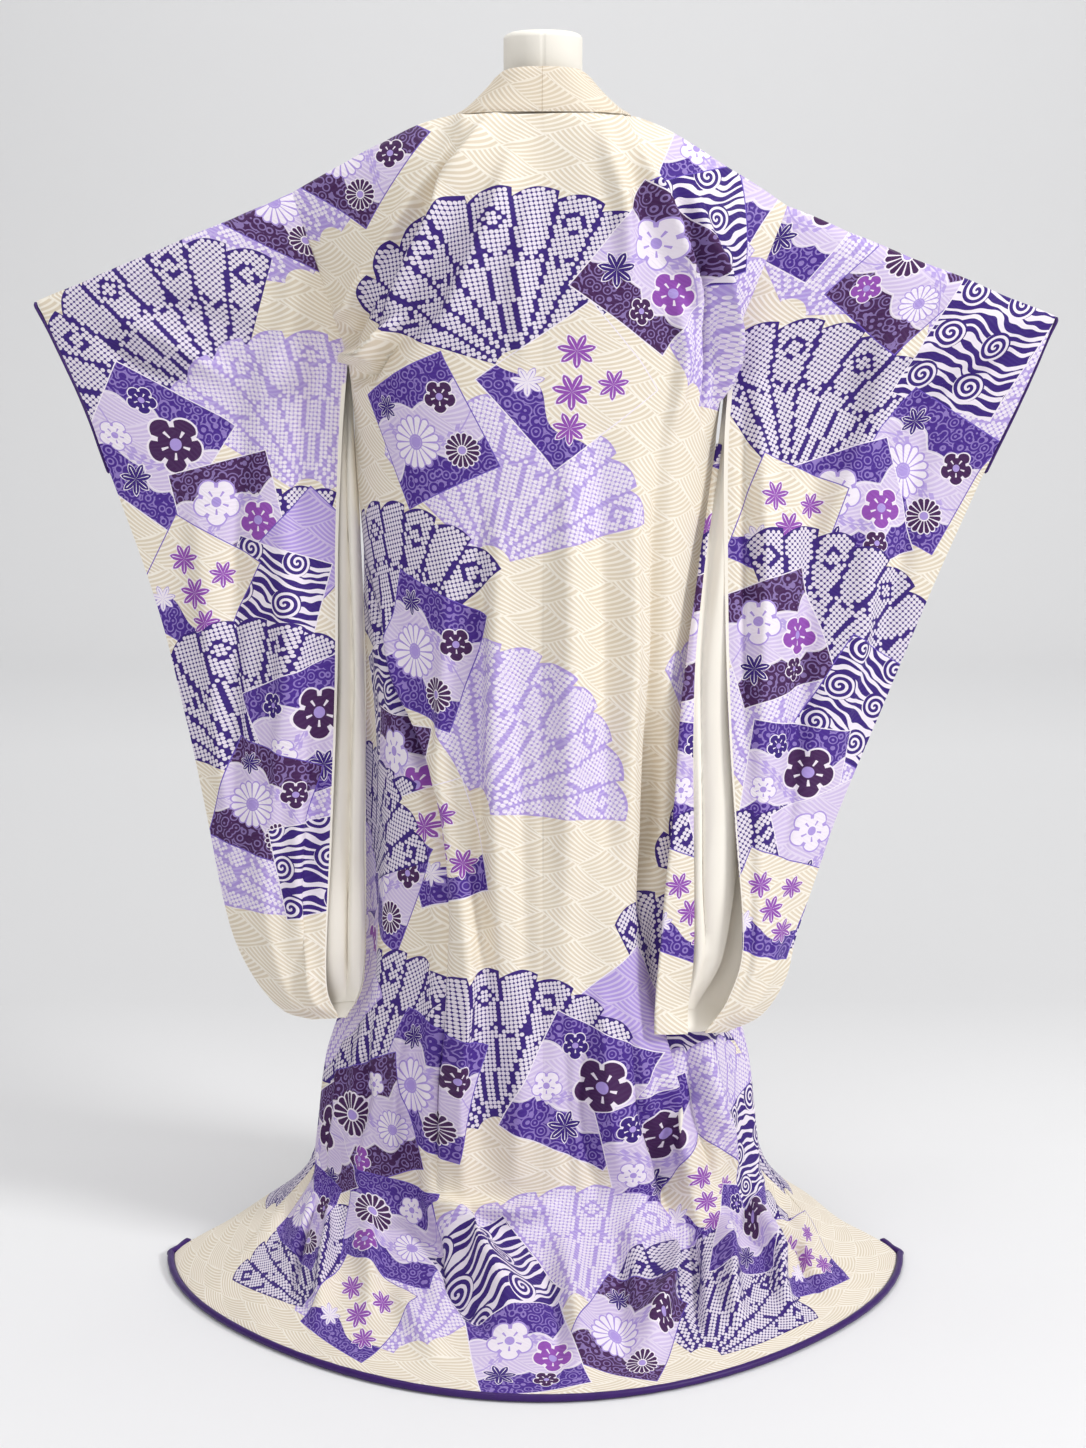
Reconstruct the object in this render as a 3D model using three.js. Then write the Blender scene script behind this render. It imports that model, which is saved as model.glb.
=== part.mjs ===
// Furisode seen from behind, on a limbless dress form. Millimetres, +Z up, the back faces -Y.
// The origin is on the floor, under the middle of the form's base.
import * as THREE from "three";

// Overall sizes
const WALL = 2; // lined silk as one wall
const SEAM = 0.7; // space between the pieces at a seam
const HALF_BACK = 300; // cloth width from the centre back to the side seam
const FRONT = 240; // cloth width of the front panel
const OVERLAP = 150; // cloth width of the overlap panel
const LENGTH_TO_ARM = 1344; // up the cloth from the hem to the underarm
const HEM_DIP = 0.045;
const TIP_CUT = 12; // how far the front corner is rounded at the hem
const OVERLAP_TOP = 8; // the overlap panel tapers to this under the collar
const OVERLAP_FULL = 950; // up the cloth, where the overlap panel has its full width
const COLLAR_WIDTH = 55;
const COLLAR_WALL = 4;
const COLLAR_END = 985; // up the cloth, the collar's lower end
const ROLL_RADIUS = 5;
const ROLL_UP = 52; // how far the hem roll turns up the front edges
const CUFF_RADIUS = 1.9;
const WRIST = 0.22; // share of the sleeve's length that is open at the wrist
const ARMPIT = 0.21; // share of the sleeve's length that is sewn to the body
const SLEEVE_BULGE = 13; // the hollow between the two layers of a sleeve
const LINING_COLUMNS = 6; // the lining spans this many columns of the sleeve
const LINING_WALL = 1;
const ROD_RADIUS = 4;
const ROD_CLEAR = 3.8; // from the form's shoulder to the middle of the rod's end
const ROD_DROP = 12.5; // the rod's middle below the top line of the cloth
const ARM_SEAM = 1.5; // space at the sleeve seam, where the walls meet at an angle
const BASE_RADIUS = 160;
const BASE_THICK = 14;
const POLE_RADIUS = 19;
const TORSO_LOW = 700;

// Body: one row per level, keyed by the length up the cloth from the hem.
// left and right are half widths, y the middle, back and front the depths,
// side, join and edge the angles from the centre back of the two seams and the front edge.
const LEVELS = [
  { up: 0, z: 5, left: 459, right: 440, y: -78, back: 455, front: 455, side: 37.5, join: 67.5, edge: 87 },
  { up: 55, z: 14, left: 431, right: 412, y: -70, back: 415, front: 400, side: 38, join: 69, edge: 89 },
  { up: 120, z: 27, left: 392, right: 372, y: -58, back: 340, front: 330, side: 40, join: 71, edge: 92 },
  { up: 190, z: 42, left: 355, right: 343, y: -38, back: 262, front: 250, side: 44, join: 76, edge: 98 },
  { up: 255, z: 58, left: 325, right: 312, y: -20, back: 196, front: 200, side: 50, join: 83, edge: 105 },
  { up: 310, z: 88, left: 297, right: 284, y: -8, back: 172, front: 175, side: 56, join: 92, edge: 116 },
  { up: 370, z: 135, left: 283, right: 268, y: 0, back: 170, front: 165, side: 62, join: 100, edge: 126 },
  { up: 470, z: 232, left: 264, right: 249, y: 0, back: 166, front: 155, side: 68, join: 108, edge: 142 },
  { up: 520, z: 282, left: 246, right: 235, y: 0, back: 162, front: 150, side: 70, join: 112, edge: 150 },
  { up: 600, z: 360, left: 219, right: 212, y: 0, back: 156, front: 142, side: 72, join: 116, edge: 157 },
  { up: 720, z: 480, left: 211, right: 200, y: 0, back: 150, front: 132, side: 74, join: 120, edge: 161 },
  { up: 900, z: 660, left: 210, right: 196, y: 0, back: 142, front: 125, side: 76, join: 124, edge: 160 },
  { up: 1090, z: 850, left: 218, right: 200, y: 0, back: 132, front: 120, side: 80, join: 128, edge: 156 },
  { up: 1240, z: 1000, left: 227, right: 210, y: 0, back: 124, front: 118, side: 84, join: 132, edge: 158 },
  { up: 1344, z: 1104, left: 233, right: 222, y: 0, back: 118, front: 118, side: 88, join: 136, edge: 158 },
];

// Top edge of the back, keyed by the share of the width from the centre back to the sleeve seam
const TOP_LEFT = [
  { across: 0, x: 0, y: -80, z: 1388 },
  { across: 0.18, x: 58, y: -75, z: 1388 },
  { across: 0.3, x: 92, y: -52, z: 1388 },
  { across: 0.4, x: 108, y: 0, z: 1389 },
  { across: 0.52, x: 150, y: 0, z: 1378 },
  { across: 0.7, x: 208, y: 0, z: 1350 },
  { across: 1, x: 300, y: 0, z: 1300 },
];
const TOP_RIGHT = [
  { across: 0, x: 0, y: -80, z: 1388 },
  { across: 0.18, x: 58, y: -75, z: 1388 },
  { across: 0.3, x: 92, y: -52, z: 1388 },
  { across: 0.4, x: 108, y: 0, z: 1389 },
  { across: 0.52, x: 148, y: 0, z: 1373 },
  { across: 0.7, x: 206, y: 0, z: 1340 },
  { across: 1, x: 292, y: 0, z: 1284 },
];
const NECK_SHARE = 0.4;

// Folds of the body: place is cloth width from the centre back, drift how far it moves down the length
const FOLDS = [
  { side: -1, place: 40, width: 24, depth: 7, low: 330, high: 1250, drift: 0 },
  { side: -1, place: 118, width: 24, depth: 17, low: 60, high: 820, drift: 18 },
  { side: -1, place: 178, width: 26, depth: -12, low: 200, high: 1000, drift: 10 },
  { side: -1, place: 250, width: 26, depth: 9, low: 60, high: 900, drift: 20 },
  { side: -1, place: 380, width: 34, depth: 12, low: 60, high: 1150, drift: 10 },
  { side: -1, place: 470, width: 30, depth: -10, low: 90, high: 1150, drift: 0 },
  { side: 1, place: 30, width: 20, depth: 6, low: 330, high: 1250, drift: 0 },
  { side: 1, place: 104, width: 26, depth: 15, low: 60, high: 760, drift: 34 },
  { side: 1, place: 166, width: 24, depth: -13, low: 60, high: 1000, drift: 24 },
  { side: 1, place: 236, width: 26, depth: 9, low: 60, high: 900, drift: 20 },
  { side: 1, place: 372, width: 34, depth: 12, low: 60, high: 1150, drift: 10 },
  { side: 1, place: 466, width: 30, depth: -10, low: 90, high: 1150, drift: 0 },
];

// Sleeves: outer edge and the inner edge of each layer, keyed by the share of the length down
const OUTER_LEFT = [
  { down: 0, x: 612, y: 0, z: 1171 },
  { down: 0.125, x: 556, y: -8, z: 1052 },
  { down: 0.21, x: 528, y: -12, z: 969 },
  { down: 0.35, x: 482, y: -20, z: 835 },
  { down: 0.46, x: 453, y: -25, z: 727 },
  { down: 0.63, x: 419, y: -35, z: 564 },
  { down: 0.79, x: 387, y: -45, z: 407 },
  { down: 0.87, x: 360, y: -52, z: 346 },
  { down: 0.94, x: 324, y: -63, z: 306 },
  { down: 1, x: 286, y: -78, z: 297 },
];
const BACK_INNER_LEFT = [
  { down: 0.21, x: 235, y: -24, z: 1104 },
  { down: 0.3, x: 243, y: -26, z: 1010 },
  { down: 0.42, x: 249, y: -32, z: 880 },
  { down: 0.58, x: 251, y: -46, z: 716 },
  { down: 0.75, x: 259, y: -67, z: 520 },
  { down: 0.9, x: 266, y: -90, z: 350 },
  { down: 1, x: 251, y: -97, z: 303 },
];
const FRONT_INNER_LEFT = [
  { down: 0.21, x: 235, y: 24, z: 1104 },
  { down: 0.3, x: 230, y: 4, z: 1010 },
  { down: 0.42, x: 223, y: -8, z: 880 },
  { down: 0.58, x: 218, y: -20, z: 714 },
  { down: 0.75, x: 219, y: -46, z: 520 },
  { down: 0.9, x: 221, y: -74, z: 350 },
  { down: 1, x: 243, y: -92, z: 302 },
];
const OUTER_RIGHT = [
  { down: 0, x: 620, y: 0, z: 1153 },
  { down: 0.125, x: 577, y: -8, z: 1054 },
  { down: 0.21, x: 538, y: -12, z: 969 },
  { down: 0.32, x: 497, y: -20, z: 861 },
  { down: 0.4, x: 480, y: -24, z: 787 },
  { down: 0.5, x: 414, y: -32, z: 697 },
  { down: 0.65, x: 358, y: -48, z: 538 },
  { down: 0.79, x: 313, y: -64, z: 400 },
  { down: 0.87, x: 297, y: -72, z: 345 },
  { down: 0.93, x: 268, y: -88, z: 305 },
  { down: 1, x: 223, y: -116, z: 292 },
];
const BACK_INNER_RIGHT = [
  { down: 0.21, x: 226, y: -24, z: 1104 },
  { down: 0.3, x: 218, y: -46, z: 1005 },
  { down: 0.42, x: 218, y: -72, z: 870 },
  { down: 0.56, x: 221, y: -98, z: 723 },
  { down: 0.72, x: 231, y: -120, z: 556 },
  { down: 0.87, x: 240, y: -138, z: 402 },
  { down: 0.95, x: 222, y: -147, z: 338 },
  { down: 1, x: 195, y: -152, z: 301 },
];
const FRONT_INNER_RIGHT = [
  { down: 0.21, x: 226, y: 24, z: 1104 },
  { down: 0.3, x: 213, y: -22, z: 1005 },
  { down: 0.42, x: 191, y: -62, z: 870 },
  { down: 0.56, x: 173, y: -92, z: 723 },
  { down: 0.72, x: 158, y: -122, z: 557 },
  { down: 0.87, x: 143, y: -142, z: 403 },
  { down: 0.95, x: 137, y: -150, z: 336 },
  { down: 1, x: 137, y: -154, z: 300 },
];
// The right sleeve's front layer turns back towards the camera at its open edge by this much
const TURN_BACK = [
  { down: 0.3, wide: 4 },
  { down: 0.45, wide: 6 },
  { down: 0.56, wide: 9 },
  { down: 0.72, wide: 28 },
  { down: 0.87, wide: 46 },
  { down: 1, wide: 42 },
];
// The path of that turn: share of its width, lift towards the camera and a step aside for the bend
const TURN = [
  { share: 0, lift: 3.8, aside: -2.4 },
  { share: 0.3, lift: 7.4, aside: 0 },
  { share: 1, lift: 8, aside: 0 },
];
// Folds of the sleeves: across is the share from the body to the cuff, depth is towards the camera
const SLEEVE_FOLDS = [
  { side: -1, across: 0.3, width: 0.1, depth: 9, low: 0.3, high: 1, drift: -0.04 },
  { side: -1, across: 0.62, width: 0.1, depth: 7, low: 0.35, high: 0.98, drift: 0.05 },
  { side: -1, across: 0.42, width: 0.12, depth: -8, low: 0.05, high: 0.5, drift: 0.3 },
  { side: 1, across: 0.35, width: 0.11, depth: 9, low: 0.3, high: 0.98, drift: -0.05 },
  { side: 1, across: 0.66, width: 0.1, depth: 8, low: 0.3, high: 0.98, drift: 0.02 },
  { side: 1, across: 0.4, width: 0.12, depth: -8, low: 0.05, high: 0.5, drift: 0.25 },
];

// Free edge of the collar round the nape, for one side
const COLLAR_FREE = [
  { along: 0, x: 0, y: -62, z: 1444 },
  { along: 0.3, x: 28, y: -59, z: 1443 },
  { along: 0.55, x: 47, y: -45, z: 1439 },
  { along: 0.8, x: 59, y: -22, z: 1427 },
  { along: 1, x: 67, y: 6, z: 1412 },
];

// Dress form: half width and half depth by height
const TORSO = [
  { z: 700, wide: 138, deep: 100 },
  { z: 716, wide: 150, deep: 110 },
  { z: 800, wide: 158, deep: 112 },
  { z: 900, wide: 132, deep: 92 },
  { z: 980, wide: 120, deep: 84 },
  { z: 1080, wide: 140, deep: 98 },
  { z: 1180, wide: 164, deep: 100 },
  { z: 1270, wide: 184, deep: 86 },
  { z: 1320, wide: 188, deep: 66 },
  { z: 1345, wide: 181, deep: 54 },
  { z: 1364.8, wide: 160, deep: 46 },
  { z: 1376.3, wide: 134, deep: 42 },
  { z: 1383.2, wide: 102, deep: 42 },
  { z: 1389, wide: 70, deep: 45 },
  { z: 1398, wide: 52, deep: 47 },
];
const NECK_TOP = 1489;
const NECK_RADIUS = 47;

// Smooth reading of a table: each column follows a curve through its rows
function read(rows, key, at) {
  const last = rows.length - 1;
  const x = Math.min(Math.max(at, rows[0][key]), rows[last][key]);
  let i = 0;
  while (i < last - 1 && x > rows[i + 1][key]) i += 1;
  const a = rows[i];
  const b = rows[i + 1];
  const before = rows[Math.max(i - 1, 0)];
  const after = rows[Math.min(i + 2, last)];
  const h = b[key] - a[key];
  const t = (x - a[key]) / h;
  const found = {};
  for (const name of Object.keys(a)) {
    const slopeA = (b[name] - before[name]) / (b[key] - before[key]);
    const slopeB = (after[name] - a[name]) / (after[key] - a[key]);
    found[name] =
      a[name] * (2 * t * t * t - 3 * t * t + 1) +
      slopeA * h * (t * t * t - 2 * t * t + t) +
      b[name] * (3 * t * t - 2 * t * t * t) +
      slopeB * h * (t * t * t - t * t);
  }
  return found;
}

function ease(low, high, x) {
  const t = Math.min(Math.max((x - low) / (high - low), 0), 1);
  return t * t * (3 - 2 * t);
}

function mix(a, b, t) {
  return a + (b - a) * t;
}

function spread(count, from, to) {
  return Array.from({ length: count + 1 }, (_, i) => mix(from, to, i / count));
}

// A point of the body below the underarm: side is -1 or 1, place the cloth width from the centre back
function bodyPoint(side, up, place) {
  const l = read(LEVELS, "up", up);
  const stops = [0, HALF_BACK, HALF_BACK + FRONT, HALF_BACK + FRONT + OVERLAP];
  const angles = [0, l.side, l.join, l.edge];
  let k = 0;
  while (k < 2 && place > stops[k + 1]) k += 1;
  const share = (place - stops[k]) / (stops[k + 1] - stops[k]);
  const angle = THREE.MathUtils.degToRad(mix(angles[k], angles[k + 1], share));
  // The spread hem is a little flatter between the middle and the sides than an ellipse
  const flatter = 1 - HEM_DIP * Math.sin(2 * angle) ** 2 * (1 - ease(0, 255, up));
  const wide = (side < 0 ? l.left : l.right) * flatter;
  const deep = (Math.cos(angle) > 0 ? l.back : l.front) * flatter;
  let bulge = 0;
  for (const f of FOLDS) {
    if (f.side !== side) continue;
    const centre = f.place + f.drift * (1 - up / f.high);
    const fade = ease(f.low, f.low + 220, up) * (1 - ease(f.high - 260, f.high, up));
    bulge += f.depth * fade * Math.exp(-(((place - centre) / f.width) ** 2));
  }
  const upright = ease(240, 360, up);
  const out = new THREE.Vector2(Math.sin(angle) * deep, -Math.cos(angle) * wide).normalize();
  // The sides part above the side seam
  const slit = 21 * ease(1228, LENGTH_TO_ARM, up);
  const apart = place <= HALF_BACK ? -slit * (place / HALF_BACK) ** 2 : slit * (1 - (place - HALF_BACK) / FRONT) ** 2;
  return new THREE.Vector3(
    side * (wide * Math.sin(angle) + out.x * bulge * upright),
    l.y - deep * Math.cos(angle) + out.y * bulge * upright + (place > HALF_BACK + FRONT ? 0 : apart),
    l.z + bulge * (1 - upright),
  );
}

// Above the underarm: share is the height from the underarm to the top line
const ROUND = 3.4;
function roundOver(share, power = ROUND) {
  return (1 - share ** power) ** (1 / power);
}

function backPoint(side, across, share) {
  const low = bodyPoint(side, LENGTH_TO_ARM, across * HALF_BACK);
  const top = read(side < 0 ? TOP_LEFT : TOP_RIGHT, "across", across);
  const round = roundOver(share, mix(1.3, ROUND, ease(0, NECK_SHARE, across)));
  const blades = -6 * Math.sin(Math.PI * share) * (1 - across * across);
  return new THREE.Vector3(mix(low.x, side * top.x, share), mix(top.y, low.y, round) + blades, mix(low.z, top.z, share));
}

// across runs from the sleeve seam (1) to the edge that the collar covers (NECK_SHARE)
function frontPoint(side, across, share) {
  const toEdge = (1 - across) / (1 - NECK_SHARE);
  const low = bodyPoint(side, LENGTH_TO_ARM, HALF_BACK + 0.001 + toEdge * (FRONT - 0.002));
  const top = read(side < 0 ? TOP_LEFT : TOP_RIGHT, "across", across);
  return new THREE.Vector3(mix(low.x, side * top.x, share), mix(top.y, low.y, roundOver(share)), mix(low.z, top.z, share));
}

// A closed wall round the middle points of a cloth, from four-cornered patches
function wall(points, patches, thick) {
  const normals = points.map(() => new THREE.Vector3());
  for (const [a, b, c, d] of patches) {
    const across = points[c].clone().sub(points[a]);
    const n = across.cross(points[d].clone().sub(points[b]));
    for (const i of [a, b, c, d]) normals[i].add(n);
  }
  const count = points.length;
  const corners = [];
  for (const sign of [0.5, -0.5]) {
    points.forEach((p, i) => corners.push(p.clone().addScaledVector(normals[i].clone().normalize(), sign * thick)));
  }
  const edges = new Map();
  const index = [];
  const quad = (a, b, c, d) => {
    const even = corners[a].distanceTo(corners[c]) <= corners[b].distanceTo(corners[d]);
    index.push(...(even ? [a, b, c, a, c, d] : [a, b, d, b, c, d]));
  };
  for (const patch of patches) {
    const [a, b, c, d] = patch;
    quad(a, b, c, d);
    quad(d + count, c + count, b + count, a + count);
    patch.forEach((from, i) => edges.set(`${from},${patch[(i + 1) % 4]}`, [from, patch[(i + 1) % 4]]));
  }
  for (const [from, to] of edges.values()) {
    if (!edges.has(`${to},${from}`)) quad(to, from, from + count, to + count);
  }
  const geometry = new THREE.BufferGeometry();
  geometry.setAttribute("position", new THREE.Float32BufferAttribute(corners.flatMap((p) => p.toArray()), 3));
  geometry.setIndex(index);
  return geometry;
}

// The same for a plain grid of rows
function sheet(rows, thick) {
  const across = rows[0].length;
  const patches = [];
  for (let i = 0; i < rows.length - 1; i += 1) {
    for (let j = 0; j < across - 1; j += 1) {
      const at = i * across + j;
      patches.push([at, at + 1, at + across + 1, at + across]);
    }
  }
  return wall(rows.flat(), patches, thick);
}

function volume(geometry) {
  const p = geometry.getAttribute("position");
  const at = (i) => new THREE.Vector3().fromBufferAttribute(p, geometry.index ? geometry.index.getX(i) : i);
  const count = geometry.index ? geometry.index.count : p.count;
  let six = 0;
  for (let i = 0; i < count; i += 3) six += at(i).dot(at(i + 1).cross(at(i + 2)));
  return six / 6;
}

function faceOut(geometry) {
  if (volume(geometry) > 0) return geometry;
  const list = Array.from(geometry.index.array);
  for (let i = 0; i < list.length; i += 3) [list[i], list[i + 1]] = [list[i + 1], list[i]];
  geometry.setIndex(list);
  return geometry;
}

function mesh(name, geometry, colour, roughness = 0.6) {
  const made = new THREE.Mesh(geometry, new THREE.MeshStandardMaterial({ color: colour, roughness }));
  made.name = name;
  return made;
}

// Levels up the cloth, closer together where it bends to the floor
const UPS = [SEAM, 12, 28, 60, 95, 135, 175, 215, 250, 280, 310, 345, 400, 470, 540, 620, 710, 810, 920, 1030, 1140, 1240, LENGTH_TO_ARM];
const SHARES = [0.14, 0.28, 0.42, 0.56, 0.7, 0.82, 0.91, 0.97];
const BACK_ACROSS = [0, 0.06, 0.13, 0.2, 0.26, 0.33, NECK_SHARE, 0.48, 0.56, 0.65, 0.74, 0.83, 0.92, 1];
const NECK_COLUMN = BACK_ACROSS.indexOf(NECK_SHARE);

// One length of cloth: back from the hem to the top, over it, and down the front
function bodyPanel(side) {
  const points = [];
  const patches = [];
  const inset = (across) => Math.min(Math.max(across, SEAM / 2 / HALF_BACK), 1 - SEAM / 2 / HALF_BACK);
  const row = (list) => {
    const start = points.length;
    points.push(...list);
    return list.map((_, i) => start + i);
  };
  const join = (a, b) => {
    for (let i = 0; i < a.length - 1; i += 1) patches.push([a[i], a[i + 1], b[i + 1], b[i]]);
  };
  const rows = UPS.map((up) => row(BACK_ACROSS.map((a) => bodyPoint(side, up, inset(a) * HALF_BACK))));
  for (const share of [...SHARES, 1]) rows.push(row(BACK_ACROSS.map((a) => backPoint(side, inset(a), share))));
  for (let i = 0; i < rows.length - 1; i += 1) join(rows[i], rows[i + 1]);
  const front = BACK_ACROSS.slice(NECK_COLUMN);
  let above = rows[rows.length - 1].slice(NECK_COLUMN);
  for (const share of [...SHARES].reverse()) {
    const next = row(front.map((a) => frontPoint(side, inset(a), share)));
    join(above, next);
    above = next;
  }
  for (const up of [...UPS].reverse()) {
    const next = row(
      front.map((a) => {
        const toEdge = (1 - inset(a)) / (1 - NECK_SHARE);
        return bodyPoint(side, up, HALF_BACK + SEAM / 2 + toEdge * (FRONT - SEAM));
      }),
    );
    join(above, next);
    above = next;
  }
  return wall(points, patches, WALL);
}

function overlapWidth(up) {
  const corner = TIP_CUT * (1 - Math.min(up / 30, 1)) ** 2;
  return mix(OVERLAP, OVERLAP_TOP, ease(OVERLAP_FULL, LENGTH_TO_ARM, up)) - corner;
}

function overlapPanel(side) {
  const start = HALF_BACK + FRONT + 2 * SEAM;
  const rows = UPS.map((up) => spread(5, 0, 1).map((t) => bodyPoint(side, up, start + t * (overlapWidth(up) - 2 * SEAM))));
  return sheet(rows, WALL);
}

// The line that the collar is sewn to, for one side: from the centre back to its lower end
function collarSeam(side) {
  const line = [];
  for (const along of spread(8, 0, 1)) {
    const p = backPoint(side, along * NECK_SHARE, 1);
    const free = read(COLLAR_FREE, "along", along);
    line.push({ p, free: new THREE.Vector3(side * free.x, free.y, free.z) });
  }
  const first = line[line.length - 1];
  const firstWay = first.free.clone().sub(first.p).normalize();
  for (const share of [...SHARES].reverse()) {
    const p = frontPoint(side, NECK_SHARE, share);
    const way = new THREE.Vector3(-side * 0.9, 0.42, 0).lerp(firstWay, ease(0.6, 1, share)).normalize();
    line.push({ p, way });
  }
  for (const up of [...UPS].reverse().filter((u) => u >= COLLAR_END - 70)) {
    const at = Math.max(up, COLLAR_END);
    const place = HALF_BACK + FRONT + overlapWidth(at);
    const p = bodyPoint(side, at, place);
    const way = p.clone().sub(bodyPoint(side, at, place - 12)).normalize();
    line.push({ p, way: new THREE.Vector3(-side * 0.9, 0.42, 0).lerp(way, ease(LENGTH_TO_ARM, 1150, at)).normalize() });
    if (up <= COLLAR_END) break;
  }
  return line;
}

function collar() {
  const half = (side) =>
    collarSeam(side).map(({ p, free, way }) => {
      const to = free ? free.clone().sub(p).normalize() : way;
      const length = free ? free.distanceTo(p) : COLLAR_WIDTH;
      return [3.6, length / 2, length].map((d) => p.clone().addScaledVector(to, d));
    });
  const left = half(-1).slice(1).reverse();
  return sheet([...left, ...half(1)], COLLAR_WALL);
}

// How the two layers of a sleeve part: none at the top fold, and none at the sewn edges
function sleevePoint(side, down, across, layer) {
  const outer = read(side < 0 ? OUTER_LEFT : OUTER_RIGHT, "down", down);
  const table = layer < 0 ? (side < 0 ? BACK_INNER_LEFT : BACK_INNER_RIGHT) : side < 0 ? FRONT_INNER_LEFT : FRONT_INNER_RIGHT;
  let inner;
  if (down <= ARMPIT) {
    const share = 1 - down / ARMPIT;
    const p = layer < 0 ? backPoint(side, 1, share) : frontPoint(side, 1, share);
    inner = new THREE.Vector3(p.x * side + ARM_SEAM, p.y, p.z);
  } else {
    const p = read(table, "down", down);
    inner = new THREE.Vector3(p.x + ARM_SEAM, p.y, p.z);
  }
  const top = roundOver(1 - Math.min(down / 0.06, 1));
  const wrist = 8 * Math.sin(Math.PI * Math.min(down / WRIST, 1)) ** 0.6;
  const closed = (WALL + SEAM) / 2 + 0.2;
  const half = closed * Math.min(1, top + 0.12) + Math.max(wrist * ease(0.55, 1, across), 0);
  const hollow = SLEEVE_BULGE * Math.sin(Math.PI * across) ** 1.1 * top * (1 - ease(0.93, 1, down));
  let fold = 0;
  for (const f of SLEEVE_FOLDS) {
    if (f.side !== side) continue;
    const centre = f.across + f.drift * (down - f.low);
    const fade = ease(f.low, f.low + 0.15, down) * (1 - ease(f.high - 0.12, f.high, down));
    fold -= f.depth * fade * Math.exp(-(((across - centre) / f.width) ** 2));
  }
  const y = mix(inner.y, outer.y, across) + layer * (half * ease(0, 0.06, across) + hollow) + fold;
  return new THREE.Vector3(side * mix(inner.x, outer.x, across), y, mix(inner.z, outer.z, across));
}

const DOWNS = [0.01, 0.025, 0.05, 0.09, 0.13, 0.17, ARMPIT, 0.26, 0.32, 0.39, 0.46, 0.52, 0.59, 0.66, 0.73, 0.8, 0.86, 0.91, 0.95, 0.98, 1];
const SLEEVE_ACROSS = [0, 0.05, 0.12, 0.2, 0.3, 0.4, 0.5, 0.6, 0.7, 0.8, 0.9, 1];

function sleeveRow(side, down, layer) {
  return SLEEVE_ACROSS.map((a) => sleevePoint(side, down, a, layer));
}

// One length of cloth: the back layer from the bottom to the top fold, and the front layer down again
function sleeve(side) {
  const layers = [...[...DOWNS].reverse().map((down) => [down, -1]), [0, -1], ...DOWNS.map((down) => [down, 1])];
  const points = layers.flatMap(([down, layer]) => sleeveRow(side, down, layer));
  const wide = SLEEVE_ACROSS.length;
  const patches = [];
  for (let i = 0; i < layers.length - 1; i += 1) {
    for (let j = 0; j < wide - 1; j += 1) {
      const at = i * wide + j;
      patches.push([at, at + 1, at + wide + 1, at + wide]);
    }
  }
  if (side < 0) return wall(points, patches, WALL);
  // the right sleeve's front layer is turned back along its open edge
  let before = null;
  layers.forEach(([down, layer], i) => {
    if (layer < 0 || down < TURN_BACK[0].down) return;
    const width = read(TURN_BACK, "down", down).wide;
    const fold = points[i * wide];
    const rowWidth = fold.distanceTo(points[i * wide + wide - 1]);
    const strip = [i * wide];
    for (const turn of TURN) {
      strip.push(points.length);
      const under = sleevePoint(side, down, (turn.share * width) / rowWidth, layer);
      points.push(under.add(new THREE.Vector3(turn.aside, -turn.lift, 0)));
    }
    if (before) for (let k = 0; k < strip.length - 1; k += 1) patches.push([strip[k + 1], strip[k], before[k], before[k + 1]].reverse());
    before = strip;
  });
  return wall(points, patches, WALL);
}

// The lining shows on the inner face of the front layer, along the open edge
function sleeveLining(side) {
  const lift = WALL / 2 + LINING_WALL / 2 + SEAM;
  const rows = DOWNS.filter((down) => down > ARMPIT + 0.02 && down < 0.97).map((down) =>
    SLEEVE_ACROSS.slice(1, LINING_COLUMNS).map((across) => {
      const p = sleevePoint(side, down, across, 1);
      const aside = sleevePoint(side, down, across + 0.02, 1).sub(sleevePoint(side, down, across - 0.02, 1));
      const below = sleevePoint(side, down + 0.01, across, 1).sub(sleevePoint(side, down - 0.01, across, 1));
      const inward = aside.cross(below).normalize();
      if (inward.y > 0) inward.negate();
      return p.addScaledVector(inward, lift);
    }),
  );
  return sheet(rows, LINING_WALL);
}

// A round roll along a line, closed at both ends
function tube(line, radius, sides) {
  const points = [];
  let up = new THREE.Vector3(0, 0.31, 0.95);
  line.forEach((p, i) => {
    const way = line[Math.min(i + 1, line.length - 1)].clone().sub(line[Math.max(i - 1, 0)]).normalize();
    up = up.addScaledVector(way, -up.dot(way)).normalize();
    const aside = way.clone().cross(up);
    for (let k = 0; k < sides; k += 1) {
      const angle = (2 * Math.PI * k) / sides;
      points.push(p.clone().addScaledVector(up, radius * Math.cos(angle)).addScaledVector(aside, radius * Math.sin(angle)));
    }
  });
  return skin(points, sides);
}

function cuffRoll(side) {
  const line = [];
  const at = (down, layer) => {
    const edge = sleevePoint(side, down, 1, layer);
    const inside = sleevePoint(side, down, 0.96, layer);
    const way = edge.clone().sub(inside).normalize();
    return edge.addScaledVector(way, CUFF_RADIUS + SEAM + 0.25);
  };
  const downs = [0.213, 0.185, 0.15, 0.11, 0.07, 0.03];
  for (const d of downs) line.push(at(d, -1));
  const top = at(0, -1).lerp(at(0, 1), 0.5);
  const turn = CUFF_RADIUS * 2.2;
  for (const angle of spread(6, Math.PI, 0)) {
    line.push(new THREE.Vector3(top.x, top.y + turn * Math.cos(angle), top.z - turn * (1 - Math.sin(angle))));
  }
  for (const d of [...downs].reverse()) line.push(at(d, 1));
  return tube(line, CUFF_RADIUS, 6);
}

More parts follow.
